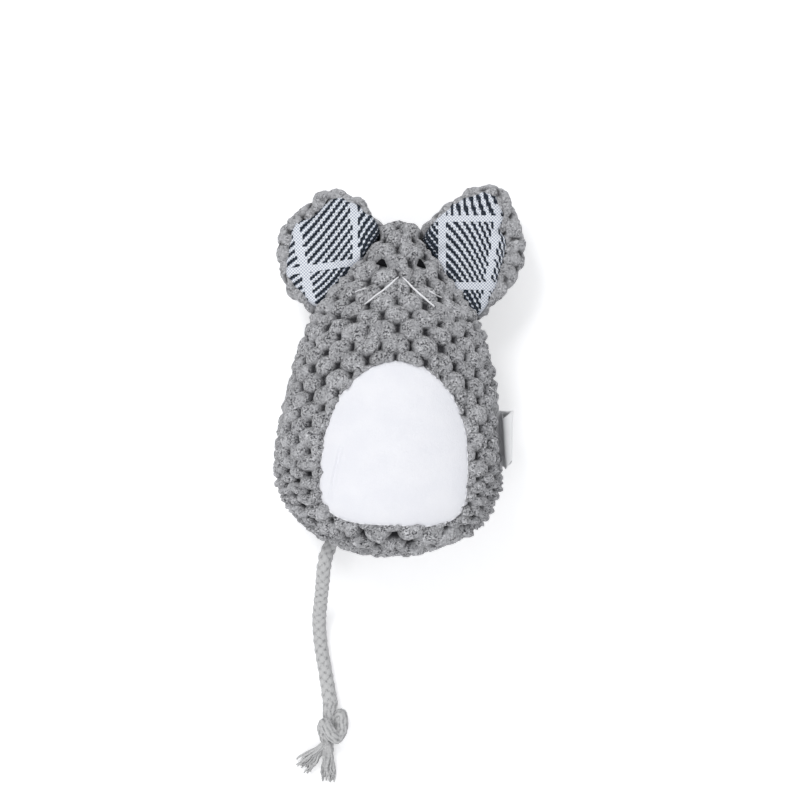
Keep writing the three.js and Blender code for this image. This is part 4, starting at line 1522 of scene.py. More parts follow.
@dataclass
class EarForm:
    """One padded ear: places are along its base, towards the flank, and out from it."""

    side: Side
    pivot: Pair
    plush: tuple[Pair, ...]
    fabric: tuple[Pair, ...]
    fold: tuple[Pair, Pair]
    middle: Pair = (-1.0, 12.0)
    seam_height: float = 18.5
    cheek_angle: float = 54.85
    back_puff: float = 4.4
    front_puff: float = 5.2
    rim: float = 2.3
    rim_middle: float = 0.3
    rim_inset: float = 0.55
    rim_start: float = 1.2
    bowl: float = 2.6
    root: float = 6.0
    root_share: float = 0.25
    fold_depth: float = 2.4
    fold_width: float = 2.4
    base_lift: float = 3.4
    base_roll: float = 5.0
    edge_turns: float = 0.86
    cloth: Popcorn = Popcorn(height=1.8, sunk=0.95, parting=0.2, lump=0.3, fuzz=0.24)

    def to_toy(self, places: Array) -> Array:
        """Moves places on the ear to the toy's frame.

        Args:
            places: Along the base, out from it and up.

        Returns:
            The same places on the toy.
        """
        sign = self.side.value
        angle = math.radians(self.cheek_angle)
        along = np.array([sign * math.cos(angle), -math.sin(angle)])
        out = np.array([sign * math.sin(angle), math.cos(angle)])
        flat = np.array(self.pivot) + places[:, :1] * along + places[:, 1:2] * out
        return np.column_stack([flat, places[:, 2] + self.seam_height])

    def radius(self, outline: tuple[Pair, ...], turns: Array) -> Array:
        """Distance from the ear's middle to an outline.

        Args:
            outline: The outline's points.
            turns: The directions.

        Returns:
            The distance in each direction.
        """
        line = spline(np.array(outline), 400, closed=True)[:-1] - np.array(self.middle)
        angles = np.arctan2(line[:, 1], line[:, 0])
        order = np.argsort(angles)
        return np.interp(turns, angles[order], np.hypot(*line[order].T), period=2.0 * math.pi)

    def thinning(self, out: Array) -> Array:
        """How thick the ear is towards its base.

        Args:
            out: Distance out from the base.

        Returns:
            The share of its full thickness.
        """
        return self.root_share + (1.0 - self.root_share) * smooth(-1.0, self.root, out)

    def rays(self, sides: int) -> tuple[Array, Array]:
        """Directions all round the ear's middle.

        Args:
            sides: How many.

        Returns:
            Their angles and unit vectors.
        """
        turns = np.linspace(-math.pi, math.pi, sides, endpoint=False)
        return turns, np.stack([np.cos(turns), np.sin(turns)], axis=1)

    def plush_back(self, material: Material) -> Piece:
        """The plush back, whose thick rim comes up round the woven front.

        Args:
            material: Its finish.

        Returns:
            The piece.
        """
        turns, ray = self.rays(300)
        outer = self.radius(self.plush, turns) - self.rim_inset
        inner = np.minimum(self.radius(self.fabric, turns) - 1.2, outer - 2.4)
        middle, half = (outer + inner) / 2.0, (outer - inner) / 2.0
        low = self.rim_middle - self.rim * math.sin(self.rim_start)
        reaches, heights, bare = [], [], []
        for share in np.linspace(0.03, 0.97, 58):
            reaches.append((middle + half * math.cos(self.rim_start)) * share)
            heights.append(low - (self.back_puff + low) * (1.0 - share**2) ** 0.8)
            bare.append(smooth(0.0, 0.15, share))
        for turn in np.linspace(-self.rim_start, math.pi, 32):
            reaches.append(middle + half * math.cos(turn))
            heights.append(self.rim_middle + self.rim * math.sin(turn))
            bare.append(1.0 - smooth(2.5, 3.1, turn))
        for share in np.linspace(0.92, 0.06, 12):
            reaches.append(inner * share)
            heights.append(self.rim_middle - (1.0 - share) * self.bowl)
            bare.append(0.0)
        plan = np.array(self.middle) + np.array(reaches)[..., None] * ray
        high = np.array(heights)[:, None] * self.thinning(plan[..., 1])
        grid = np.concatenate([plan, high[..., None]], axis=2)
        normals = grid_normals(grid, closed=True)
        steps = np.linalg.norm(np.diff(grid, axis=0), axis=2)
        arc = np.concatenate([np.zeros((1, len(turns))), np.cumsum(steps, axis=0)])
        flat = (arc * np.exp(1j * turns)[None]).ravel()
        places = grid.reshape(-1, 3)
        raised, pile = self.cloth.relief(flat, places + 100.0, 71 + self.side.value)
        calm = 0.3 + 0.7 * self.thinning(plan[..., 1].ravel())
        raised = raised * calm * np.repeat(np.array(bare), len(turns))
        moved = places + normals.reshape(-1, 3) * raised[:, None]
        first = np.array([[*self.middle, -self.back_puff]])
        last = np.array([[*self.middle, heights[-1]]])
        points = self.to_toy(np.concatenate([first, moved, last]))
        faces = ring_faces(len(heights), len(turns), 0)
        piece = add_mesh(f"ear_{self.side.word}_plush", points, faces, material)
        # The pile share, which the finish turns into painted shade in the hollows.
        keep(piece, "pile", np.concatenate([[1.0], pile, [1.0]]))
        return piece

    def wadding(self, material: Material) -> Piece:
        """The wadding between the plush and the woven front.

        Args:
            material: Its finish.

        Returns:
            The piece.
        """
        turns, ray = self.rays(90)
        reach = self.radius(self.fabric, turns) - 3.4
        shares = np.linspace(0.06, 1.0, 16)
        plan = np.array(self.middle) + shares[:, None, None] * reach[None, :, None] * ray
        flat = plan.reshape(-1, 2)
        edge = np.repeat(shares, len(turns))
        lump = 0.25 * grain(flat, 2.6, 9)
        calm = self.thinning(flat[:, 1])
        top = self.fabric_height(flat, edge * 0.8) - 1.6 - 1.0 * edge**4 + lump
        low = (self.rim_middle - (1.0 - edge) * self.bowl) * calm + 0.6 + lump
        low = np.minimum(low, top - 0.2)
        upper = np.column_stack([flat, top])
        lower = np.column_stack([flat, low]).reshape(len(shares), len(turns), 3)[::-1].reshape(-1, 3)
        first, last = upper[: len(turns)].mean(axis=0), lower[-len(turns) :].mean(axis=0)
        points = self.to_toy(np.concatenate([[first], upper, lower, [last]]))
        faces = ring_faces(2 * len(shares), len(turns), 0)
        return add_mesh(f"ear_{self.side.word}_fibre", points, faces, material)

    def crease(self, places: Array) -> Array:
        """Depth of the fold that runs out from the ear's base.

        Args:
            places: Along the base and out from it.

        Returns:
            How far the cloth lies lower.
        """
        start, end = np.array(self.fold[0]), np.array(self.fold[1])
        length = float(np.linalg.norm(end - start))
        way = (end - start) / length
        along = (places - start) @ way
        apart = np.linalg.norm(places - start - np.clip(along, 0.0, None)[:, None] * way, axis=1)
        fade = 1.0 - smooth(0.0, length, along)
        return self.fold_depth * fade * np.exp(-((apart / self.fold_width) ** 2))

    def fabric_height(self, plan: Array, shares: Array) -> Array:
        """Height of the woven front.

        Args:
            plan: Along the base and out from it.
            shares: From 0 at the ear's middle to 1 at the cloth's edge.

        Returns:
            The height over the hinge plane.
        """
        edge = self.rim - 0.6
        dome = (1.0 - np.clip(shares, 0.0, 1.0) ** 3.4) ** 0.5
        high = edge + (self.front_puff - edge) * dome
        near_base = 1.0 - smooth(-0.5, 8.0, plan[:, 1])
        high = high + self.base_lift * near_base * smooth(0.0, 0.5, dome)
        roll = np.clip(1.0 - (plan[:, 1] + 3.0) / 2.2, 0.0, 1.0)
        high = high - self.base_roll * roll**2 - self.crease(plan) * dome**0.5
        return high + 0.3 * grain(plan, 7.5, 23 + self.side.value) * dome

    def unrolled(self, upper: Array, plan: Array, shares: Array) -> Array:
        """Where the skin of the woven front lies on its flat cloth.

        Args:
            upper: The skin, in rings and sides.
            plan: The same places seen from above.
            shares: From 0 at the ear's middle to 1 at the cloth's edge, for each ring.

        Returns:
            Along the base and out from it, in rings and sides, laid out flat where the edge turns down.
        """
        centre = np.array(self.middle)
        steps = np.linalg.norm(np.diff(upper, axis=0, prepend=upper[:1]), axis=2)
        arc = np.cumsum(steps, axis=0)
        reach = np.linalg.norm(plan - centre, axis=2)
        turned = int(np.searchsorted(shares, self.edge_turns))
        beyond = reach[turned] + arc - arc[turned]
        laid = np.where(np.arange(len(shares))[:, None] > turned, beyond, reach)
        return centre + (plan - centre) * (laid / reach)[..., None]

    def woven_front(self, material: Material) -> Piece:
        """The padded woven front.

        Args:
            material: Its finish.

        Returns:
            The piece.
        """
        sides, rings = 200, 60
        turns, ray = self.rays(sides)
        reach = self.radius(self.fabric, turns)
        shares = np.sin(np.linspace(0.02, 1.0, rings) * math.pi / 2.0)
        plan = np.array(self.middle) + shares[:, None, None] * reach[None, :, None] * ray
        flat = plan.reshape(-1, 2)
        high = self.fabric_height(flat, np.repeat(shares, sides)).reshape(rings, sides)
        upper = np.concatenate([plan, high[..., None]], axis=2)
        lower = upper[::-1][1::4].copy()
        lower[..., 2] -= 0.9
        centre = np.array([self.middle])
        peak = float(self.fabric_height(centre, np.zeros(1))[0])
        first, last = np.array([[*self.middle, peak]]), np.array([[*self.middle, peak - 0.9]])
        points = np.concatenate([first, upper.reshape(-1, 3), lower.reshape(-1, 3), last])
        cloth = self.unrolled(upper, plan, shares)
        cloth = np.concatenate([centre, cloth.reshape(-1, 2), cloth[::-1][1::4].reshape(-1, 2), centre])
        toy = self.to_toy(np.column_stack([cloth, np.zeros(len(cloth))]))
        faces = ring_faces(rings + len(lower), sides, 0)
        piece = add_mesh(f"ear_{self.side.word}_check_cloth", self.to_toy(points), faces, material)
        keep(piece, "cloth", toy_to_view(toy))
        return piece


def toy_to_view(places: Array) -> Array:
    """Turns places from the toy's frame to the camera's, in which the cloth's bands stand upright.

    Args:
        places: Places on the toy.

    Returns:
        The same places, across and up in the view.
    """
    across = places[:, 0] * math.cos(VIEW_TURN) + places[:, 1] * math.sin(VIEW_TURN)
    up = -places[:, 0] * math.sin(VIEW_TURN) + places[:, 1] * math.cos(VIEW_TURN)
    return np.column_stack([across, up, np.zeros(len(places))])


# Tail

TAIL_ROUTE = (
    (-0.018, -0.03865, 0.0185), (-0.018684, -0.040533, 0.0185), (-0.01962, -0.04311, 0.0185),
    (-0.02005, -0.045, 0.01835), (-0.02035, -0.0475, 0.0177), (-0.0205, -0.0505, 0.0162),
    (-0.0206, -0.0535, 0.014), (-0.0208, -0.0565, 0.0114), (-0.021, -0.0595, 0.0088),
    (-0.0212, -0.0625, 0.0065), (-0.0213, -0.0655, 0.0047), (-0.0212, -0.0685, 0.0035),
    (-0.0208, -0.072, 0.00275), (-0.0202, -0.076, 0.0025), (-0.0193, -0.08, 0.0025),
    (-0.0184, -0.084, 0.0025), (-0.0175, -0.088, 0.0025), (-0.0167, -0.092, 0.0025),
    (-0.01595, -0.0956, 0.0025),
)

KNOT_ROUTE = (
    (0.0, 0.3, 0.0), (-0.1, -1.8, 0.9), (-0.1, -3.7, 1.1),
    (0.5, -5.4, 0.1), (1.6, -6.7, -0.6), (2.9, -5.8, -0.1),
    (3.6, -3.9, 1.3), (4.6, -3.1, 1.9), (5.1, -5.0, 1.7),
    (4.9, -7.7, 1.3), (3.4, -9.9, 1.9), (1.5, -9.0, 3.5),
    (-0.3, -7.3, 3.8), (-1.7, -6.0, 2.4), (-2.1, -7.8, 0.1),
    (-1.2, -9.8, -0.4), (-0.2, -11.8, -0.3), (0.0, -13.9, -0.3),
)


@dataclass
class Tail:
    """The braided cotton rope with its knot and its frayed end."""

    material: Material
    radius: float = 2.45
    lay: float = 12.5
    strands: int = 4
    exit: Triple = (-18.0, -38.65, 18.5)
    pivot: Triple = (-18.684, -40.533, 18.5)
    sewn_depth: float = 10.0
    sewn_gap: float = 0.3
    hollow: float = 0.83
    swell: float = 0.17
    weave: float = 0.42
    yarn: float = 0.12
    pinch: float = 0.12

    def braid(self, around: Array, along: Array) -> tuple[Array, Array]:
        """Relief of strands that go round both ways and cross over and under.

        Args:
            around: The angle round the rope.
            along: The distance along it.

        Returns:
            The share of the rope's radius, and the share from a hollow to a strand's top.
        """
        turn = self.strands * along / self.lay
        one = self.strands * around / (2.0 * math.pi) + turn
        two = self.strands * around / (2.0 * math.pi) - turn
        best = np.full(one.shape, -9.0)
        for first, second, sign in ((one, two, 1.0), (two, one, -1.0)):
            index = np.round(first)
            off = (first - index) / 0.5
            crown = np.sqrt(np.clip(1.0 - (0.92 * off) ** 2, 0.0, 1.0))
            weave = np.cos(math.pi * second) * np.where(index % 2 == 0, 1.0, -1.0) * sign
            yarn = self.yarn * np.cos(2.0 * math.pi * (1.5 * off + 2.0 * second))
            best = np.maximum(best, crown + self.weave * weave + yarn)
        high = (best - 0.45) / 0.95
        return self.hollow + self.swell * high, np.clip(high, 0.0, 1.0)

    def rope_tube(
        self, name: str, line: Array, radii: Array, sides: int, start: float = 0.0, open_braid: float = 1.0
    ) -> Piece:
        """A braided tube along a line.

        Args:
            name: The piece's name.
            line: The line's points, evenly spaced.
            radii: The radius at each point.
            sides: How many sides it has.
            start: How far along the rope it starts.
            open_braid: Less than 1 where the strands are pulled tight.

        Returns:
            The piece.
        """
        steps = np.linalg.norm(np.diff(line, axis=0), axis=1)
        along = start + np.concatenate([[0.0], np.cumsum(steps)])
        around = np.linspace(0.0, 2.0 * math.pi, sides, endpoint=False)
        share, pile = self.braid(around[None, :] + 0.0 * along[:, None], along[:, None] + 0.0 * around)
        tight = 1.0 - open_braid
        drawn = 0.5 - 0.5 * np.cos(9.0 * around[None] + 1.1 * np.sin(0.9 * along[:, None]))
        share = 1.0 - (1.0 - share) * open_braid - self.pinch * tight * drawn
        # The pile share drops in the drawn grooves of the tight knot: painted shade.
        pile = np.clip(1.0 - (1.0 - pile) * open_braid - 1.2 * tight * drawn, 0.0, 1.0)
        rings = tube_rings(line, radii[:, None] * share, sides)
        flat = rings.reshape(-1, 3)
        fuzz = 0.09 * grain(flat, 0.7, 31) + 0.12 * grain(flat, 2.2, 32)
        rings = tube_rings(line, radii[:, None] * share + fuzz.reshape(share.shape), sides)
        rings[..., 2] = np.maximum(rings[..., 2], 0.02)
        points = np.concatenate([line[:1], rings.reshape(-1, 3), line[-1:]])
        piece = add_mesh(name, points, ring_faces(len(line), sides, 0), self.material)
        # The pile share, which the finish turns into painted shade between the strands.
        keep(piece, "pile", np.concatenate([[0.5], pile.ravel(), [0.5]]))
        return piece

    def rope(self) -> Piece:
        """The rope from the body to the knot.

        Returns:
            The piece.
        """
        line = spline(np.array(TAIL_ROUTE) / MM, 280)
        wider = 1.0 + 0.09 * smooth(0.8, 1.0, np.linspace(0.0, 1.0, len(line)))
        return self.rope_tube("tail_rope", line, self.radius * wider, 64)

    def sewn_end(self) -> Piece:
        """The rope end in the seam, up to where the free rope starts.

        Returns:
            The piece.
        """
        out = np.array(self.pivot) - np.array(self.exit)
        out /= np.linalg.norm(out)
        shares = np.linspace(0.0, 1.0, 70)
        line = np.array(self.exit) + out * ((shares[:, None] - 1.0) * self.sewn_depth - self.sewn_gap)
        radii = self.radius * np.sqrt(np.clip(1.0 - smooth(0.8, 1.0, shares) * 0.9, 0.02, 1.0))
        return self.rope_tube("tail_root_rope", line, radii, 40, start=-self.sewn_depth)

    def knot(self) -> Piece:
        """The overhand knot, pulled tight, with one turn laid over it.

        Returns:
            The piece.
        """
        base = np.array(TAIL_ROUTE[-1]) / MM
        line = spline(np.array(KNOT_ROUTE) * (0.87, 1.18, 1.0) + base, 420)
        share = np.linspace(0.0, 1.0, len(line))
        radii = self.radius * (1.08 - 0.15 * smooth(0.0, 0.12, share) - 0.15 * smooth(0.9, 1.0, share))
        return self.rope_tube("tail_knot_rope", line, radii, 56, start=58.0, open_braid=0.55)

    def tuft(self, name: str, tips: tuple[Pair, Pair], strands: int, seed: int) -> Piece:
        """A frayed bunch of yarns on the ground.

        Args:
            name: The piece's name.
            tips: Where its outermost yarns end, across and along.
            strands: How many yarns it has.
            seed: Which random bends they have.

        Returns:
            The piece.
        """
        draw = np.random.default_rng(seed)
        root = np.array(TAIL_ROUTE[-1]) / MM + (-0.1, -13.4, 0.0)
        points, faces, pile = [], [], []
        steps, sides = 22, 6
        share = np.linspace(0.0, 1.0, steps)[:, None]
        for _ in range(strands):
            spot = draw.random()
            tip = np.array(tips[0]) * (1.0 - spot) + np.array(tips[1]) * spot
            begin = root + (draw.uniform(-1.5, 1.5), 0.0, draw.uniform(-1.3, 1.5))
            end = np.array([*(tip + draw.normal(0.0, 0.5, 2)), draw.uniform(0.35, 1.9)])
            reach = draw.uniform(0.82, 1.0)
            end = begin + (end - begin) * reach
            rise = np.array([0.0, 0.0, draw.uniform(0.0, 1.1)])
            bend = np.array([*draw.uniform(-0.9, 0.9, 2), 0.0])
            line = begin + (end - begin) * share
            line = line + rise * np.sin(math.pi * share**0.8) + bend * np.sin(2.0 * math.pi * share) * share
            sway = np.sin(share * draw.uniform(9.0, 18.0) + draw.uniform(0.0, 6.0))
            line = line + 0.42 * sway * share * [[1.0, 0.3, 0.4]]
            width = draw.uniform(0.42, 0.82) * (1.0 - 0.55 * share[:, 0] ** 3)
            line[:, 2] = np.maximum(line[:, 2], width + 0.02)
            rings = tube_rings(line, width, sides)
            base = len(points)
            points.extend([line[0], *rings.reshape(-1, 3), line[-1]])
            faces.extend(ring_faces(steps, sides, base))
            tone = draw.uniform(0.12, 1.0)
            pile.extend([tone] * (steps * sides + 2))
        piece = add_mesh(name, np.array(points), faces, self.material)
        keep(piece, "pile", np.array(pile))
        return piece


@dataclass
class SeamLabel:
    """The ribbon loop in the right side seam, left bare."""

    width: float = 19.0
    thickness: float = 0.28
    nose_end: tuple[Triple, ...] = (
        (-1.6, -0.2, 0.0), (-0.2, -0.7, 0.0), (0.3, -1.4, 0.0),
        (0.7, -1.6, 0.0), (1.0, -0.9, -0.6), (1.2, 0.5, -2.0),
        (1.6, 1.8, -2.4), (3.1, 2.3, -1.2), (4.3, 2.0, 0.0),
        (4.7, 0.9, 0.3), (4.5, -1.8, 0.2), (3.4, -4.4, 0.0),
        (1.4, -5.2, 0.0), (-0.2, -2.4, 0.0), (-1.6, 0.2, 0.0),
    )
    tail_end: tuple[Triple, ...] = (
        (-1.6, -0.2, 0.0), (-0.2, -0.7, 0.0), (0.7, -1.7, 0.0),
        (1.6, -2.0, 0.0), (2.3, -1.2, -0.2), (2.7, 0.3, -0.8),
        (3.0, 1.6, -0.6), (3.6, 2.0, 0.6), (4.3, 1.8, 2.0),
        (4.7, 0.8, 2.4), (4.5, -1.8, 1.2), (3.4, -4.4, 0.3),
        (1.4, -5.2, 0.0), (-0.2, -2.4, 0.0), (-1.6, 0.2, 0.0),
    )

    def ribbon(self, material: Material) -> Piece:
        """The folded ribbon.

        Args:
            material: Its finish.

        Returns:
            The piece.
        """
        low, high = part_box("care_label")
        middle = np.array([low.x / MM, (low.y + high.y) / (2.0 * MM), (low.z + high.z) / (2.0 * MM)])
        grid, inner = [], []
        rows = np.linspace(-0.5, 0.5, 40)
        for row in rows:
            section = np.array(self.tail_end) * (0.5 - row) + np.array(self.nose_end) * (0.5 + row)
            line = spline(section, 110)
            way = np.gradient(line[:, :2], axis=0)
            way /= np.linalg.norm(way, axis=1, keepdims=True)
            side = np.stack([-way[:, 1], way[:, 0], 0.0 * way[:, 0]], axis=1) * self.thickness / 2.0
            loop = np.concatenate([line + side, (line - side)[::-1]])
            shallow = 1.0 - 0.75 * float(smooth(0.3, 0.5, np.array(abs(row))))
            up = np.where(loop[:, 1] < 0.0, loop[:, 1] * shallow, loop[:, 1])
            away = row * self.width * math.sin(0.03)
            along = middle[1] + row * self.width + loop[:, 2]
            grid.append(np.column_stack([middle[0] + loop[:, 0] - away, along, middle[2] + up]))
            share = np.linspace(0.0, 1.0, 110)
            # Share of painted shade on the inner leaf near the seam.
            inner_shade_share = (1.0 - smooth(0.255, 0.285, share)) * smooth(-0.33, -0.29, np.array(row))
            inner.append(np.concatenate([inner_shade_share, 0.0 * inner_shade_share]))
        points = np.concatenate(grid)
        count = len(loop)
        faces = []
        for row in range(len(rows) - 1):
            for corner in range(count):
                following = (corner + 1) % count
                here, there = row * count, (row + 1) * count
                faces.append((here + corner, here + following, there + following, there + corner))
        half = count // 2
        for row, turned in ((0, False), (len(rows) - 1, True)):
            base = row * count
            for corner in range(half - 1):
                facing = base + count - 1 - corner
                quad = (base + corner + 1, base + corner, facing, facing - 1)
                faces.append(quad[::-1] if turned else quad)
        piece = add_mesh("seam_label_ribbon", points, faces, material)
        # Keeps the share of painted shade on the inner leaf.
        keep(piece, "inner", np.concatenate(inner))
        return piece


@dataclass
class Stuffing:
    """Loose fibre, wadding and the sachet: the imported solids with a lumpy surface."""

    voxel: float = 1.6
    lump: float = 0.5

    def piece(self, node: str, name: str, material: Material, fine: float = 1.0) -> Piece:
        """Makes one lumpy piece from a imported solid, drawn in so that it stays inside it.

        Args:
            node: The solid.
            name: The piece's name.
            material: Its finish.
            fine: Less than 1 for a thinner piece with smaller lumps.

        Returns:
            The piece.
        """
        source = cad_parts[node]
        copy = bpy.data.objects.new(name, source.data.copy())
        bpy.context.scene.collection.objects.link(copy)
        remesh = copy.modifiers.new("even", "REMESH")
        remesh.mode = "VOXEL"
        remesh.voxel_size = self.voxel * fine * MM
        bpy.context.view_layer.update()
        shaped = bpy.data.meshes.new_from_object(copy.evaluated_get(bpy.context.evaluated_depsgraph_get()))
        copy.modifiers.clear()
        copy.data = shaped
        shaped.name = name
        count = len(shaped.vertices)
        places = np.zeros(count * 3)
        shaped.vertices.foreach_get("co", places)
        places = places.reshape(-1, 3) / MM
        ways = np.array([vertex.normal[:] for vertex in shaped.vertices])
        lumps = 0.5 + 0.35 * grain(places, 4.0 * fine, 3) + 0.15 * grain(places, 1.8 * fine, 4)
        places = places - ways * (self.lump * fine * lumps)[:, None]
        shaped.vertices.foreach_set("co", (places * MM).ravel())
        shaped.polygons.foreach_set("use_smooth", np.ones(len(shaped.polygons), dtype=bool))
        shaped.materials.clear()
        shaped.materials.append(material)
        shaped.update()
        return copy


# Floor, light and camera


@dataclass
class Studio:
    """A pale floor, soft light and the camera over the toy."""

    distance: float = 1400.0
    view_width: float = 274.4
    look_at: Triple = (2.70, 10.72, 18.5)
    floor_width: float = 3000.0

    def camera(self) -> None:
        """The camera, straight above, turned with the photographed toy."""
        data = bpy.data.cameras.new("camera")
        data.sensor_width = 36.0
        data.lens = data.sensor_width * self.distance / self.view_width
        data.clip_end = 20.0
        made = bpy.data.objects.new("camera", data)
        x, y, z = self.look_at
        made.location = Vector((x, y, z + self.distance)) * MM
        made.rotation_euler = (0.0, 0.0, VIEW_TURN)
        bpy.context.scene.collection.objects.link(made)
        bpy.context.scene.camera = made

    def floor(self) -> None:
        """The floor: white to the camera, but for the toy's shadow."""
        finish = Finish("pale_floor")
        seen = finish.signal("ShaderNodeLightPath", {}, {}, "Is Camera Ray")
        for ray in ("Is Glossy Ray", "Is Transmission Ray"):
            seen = seen.most(finish.signal("ShaderNodeLightPath", {}, {}, ray))
        plain = finish.node("ShaderNodeBsdfDiffuse", {}, {"Color": (0.86, 0.86, 0.87, 1.0)})
        white = finish.node("ShaderNodeEmission", {}, {"Color": (1.0, 1.0, 1.0, 1.0), "Strength": 1.0})
        glow = finish.node("ShaderNodeMixShader", {}, {0: seen * 0.42, 2: white.outputs[0]})
        both = finish.node("ShaderNodeAddShader", {}, {0: plain.outputs[0], 1: glow.outputs[0]})
        half = self.floor_width / 2.0
        points = np.array([[-half, -half, 0.0], [half, -half, 0.0], [half, half, 0.0], [-half, half, 0.0]])
        add_mesh("floor", points, [(0, 1, 2, 3)], finish.end_in(both))

    def world(self) -> None:
        """Even light from all round, white where the camera sees it."""
        world = bpy.data.worlds.new("studio")
        bpy.context.scene.world = world
        world.use_nodes = True
        nodes = Nodes(world.node_tree)
        seen = nodes.signal("ShaderNodeLightPath", {}, {}, "Is Camera Ray")
        lit = nodes.node("ShaderNodeBackground", {}, {"Color": (0.95, 0.97, 1.0, 1.0), "Strength": 0.43})
        white = nodes.node("ShaderNodeBackground", {}, {"Color": (1.0, 1.0, 1.0, 1.0), "Strength": 1.0})
        mixed = nodes.node("ShaderNodeMixShader", {}, {0: seen, 1: lit.outputs[0], 2: white.outputs[0]})
        nodes.node("ShaderNodeOutputWorld", {}, {"Surface": mixed.outputs[0]})

    def lamp(self, name: str, place: Triple, size: float, watts: float) -> None:
        """One soft lamp that shines on the toy.

        Args:
            name: The lamp's name.
            place: Where it hangs.
            size: The side of its square.
            watts: Its strength.
        """
        data = bpy.data.lights.new(name, "AREA")
        data.size = size * MM
        data.energy = watts
        made = bpy.data.objects.new(name, data)
        made.location = Vector(place) * MM
        way = Vector((0.0, 10.0, 15.0)) - Vector(place)
        made.rotation_euler = way.to_track_quat("-Z", "Y").to_euler()
        bpy.context.scene.collection.objects.link(made)

    def build(self) -> None:
        """Sets up the floor, the world and the lamps."""
        bpy.context.scene.view_settings.view_transform = "Standard"
        self.floor()
        self.world()
        self.lamp("key", (-420.0, 620.0, 900.0), 420.0, 6.1)
        self.lamp("fill", (-260.0, -820.0, 520.0), 600.0, 3.9)
        self.lamp("side", (760.0, 80.0, 520.0), 500.0, 1.6)


# The toy

# Inner and outer end, bow, and thickness as a share of the whole thread's
WHISKERS = {
    "whisker_left_long": (((0.0, 52.4), (-11.2, 42.25)), 0.15, 1.0),
    "whisker_right_long": (((1.4, 52.4), (13.3, 42.5)), -0.35, 1.0),
    "whisker_left_short": (((-10.4, 48.1), (-14.9, 46.3)), 0.0, 0.6),
    "whisker_right_short": (((10.3, 48.2), (15.4, 46.1)), 0.0, 0.6),
}

EARS = (
    EarForm(
        Side.LEFT,
        (-17.862, 53.945),
        plush=(
            (-17.9, -1.5), (-20.7, 3.3), (-22.2, 9.5), (-21.2, 17.7), (-18.5, 21.7), (-14.8, 24.0),
            (-7.7, 25.6), (-0.2, 26.7), (7.9, 24.6), (13.9, 18.9), (17.9, 11.8), (18.9, 4.5),
            (17.5, -1.0), (0.0, -2.5),
        ),
        fabric=(
            (-18.6, 0.6), (-20.0, 4.3), (-20.3, 8.8), (-18.7, 17.3), (-13.7, 19.8), (-9.7, 20.2),
            (-5.8, 21.5), (-1.8, 24.3), (3.2, 21.9), (12.8, 16.6), (15.2, 10.8), (16.4, 2.2),
            (14.2, -1.4), (5.0, -2.2), (-3.7, -3.1), (-10.0, -2.4), (-16.6, -1.4),
        ),
        fold=((-0.8, -0.4), (-6.0, 15.0)),
        middle=(-1.5, 10.5),
    ),
    EarForm(
        Side.RIGHT,
        (17.862, 53.945),
        plush=(
            (-17.9, -1.2), (-20.4, 4.5), (-21.8, 10.0), (-22.1, 19.6), (-19.5, 27.6), (-15.5, 31.2),
            (-8.2, 30.6), (-1.8, 29.5), (4.5, 27.6), (10.9, 21.6), (15.2, 13.0), (17.6, 2.0),
            (16.0, -1.2), (0.0, -2.5),
        ),
        fabric=(
            (-17.6, 1.6), (-20.2, 9.4), (-20.8, 18.0), (-17.5, 26.7), (-13.0, 27.4), (-7.6, 26.1),
            (-4.4, 22.7), (0.0, 22.4), (7.1, 15.9), (13.7, 7.8), (16.4, 0.9), (14.2, -1.4),
            (3.3, -2.2), (-2.6, -2.5), (-8.4, -2.3), (-15.2, -1.8),
        ),
        fold=((-8.5, -0.6), (-6.0, 12.0)),
        middle=(-2.5, 12.0),
    ),
)

# A dark share above 0.5 widens the dark stripes near the base, where the cloth turns under: painted shade.
CHECKS = {
    Side.LEFT: WovenCheck(
        "check_cloth_left",
        Stripes(50.8, 2.16, (-22.0, 66.0), -0.18, (0.0008, -0.0029, -0.0009)),
        (
            Band((-12.0, 66.0), 2.3, True, lean=-0.03),
            Band((-18.0, 56.8), 2.3, False, lean=0.14),
            Band((-31.7, 65.4), 3.0, True, lean=-0.216),
        ),
        (
            (1, -1, Stripes(44.8, 1.89, (-22.0, 50.0), -0.02, (-0.0046, -0.0086, -0.0036))),
            (0, 1, Stripes(58.0, 1.9, (-8.0, 68.0), 0.43, (0.022, 0.004, -0.001), 0.56)),
            (2, -1, Stripes(36.0, 2.3, (-32.6, 56.0), 0.5)),
        ),
        base=(-15.0, 54.8),
        inward=(0.79, -0.62),
    ),
    Side.RIGHT: WovenCheck(
        "check_cloth_right",
        Stripes(-56.8, 2.03, (26.0, 61.0), 0.15, (-0.0047, 0.0088, -0.0013)),
        (
            Band((17.7, 62.0), 2.4, True),
            Band((34.8, 60.0), 2.2, True, lean=0.16),
            Band((26.0, 72.6), 2.1, False),
            Band((28.0, 49.5), 2.5, False),
        ),
        (
            (2, 1, Stripes(-74.7, 2.58, (29.0, 77.0), -0.18, (0.0062, -0.0037, -0.0033))),
            (3, -1, Stripes(-56.0, 1.9, (26.0, 44.1), 0.5, (0.0, 0.02, 0.0), 0.58)),
            (0, -1, Stripes(-52.0, 1.9, (13.4, 62.0), 0.5, dark=0.6)),
        ),
        base=(20.7, 52.9),
        inward=(-0.85, -0.53),
    ),
}


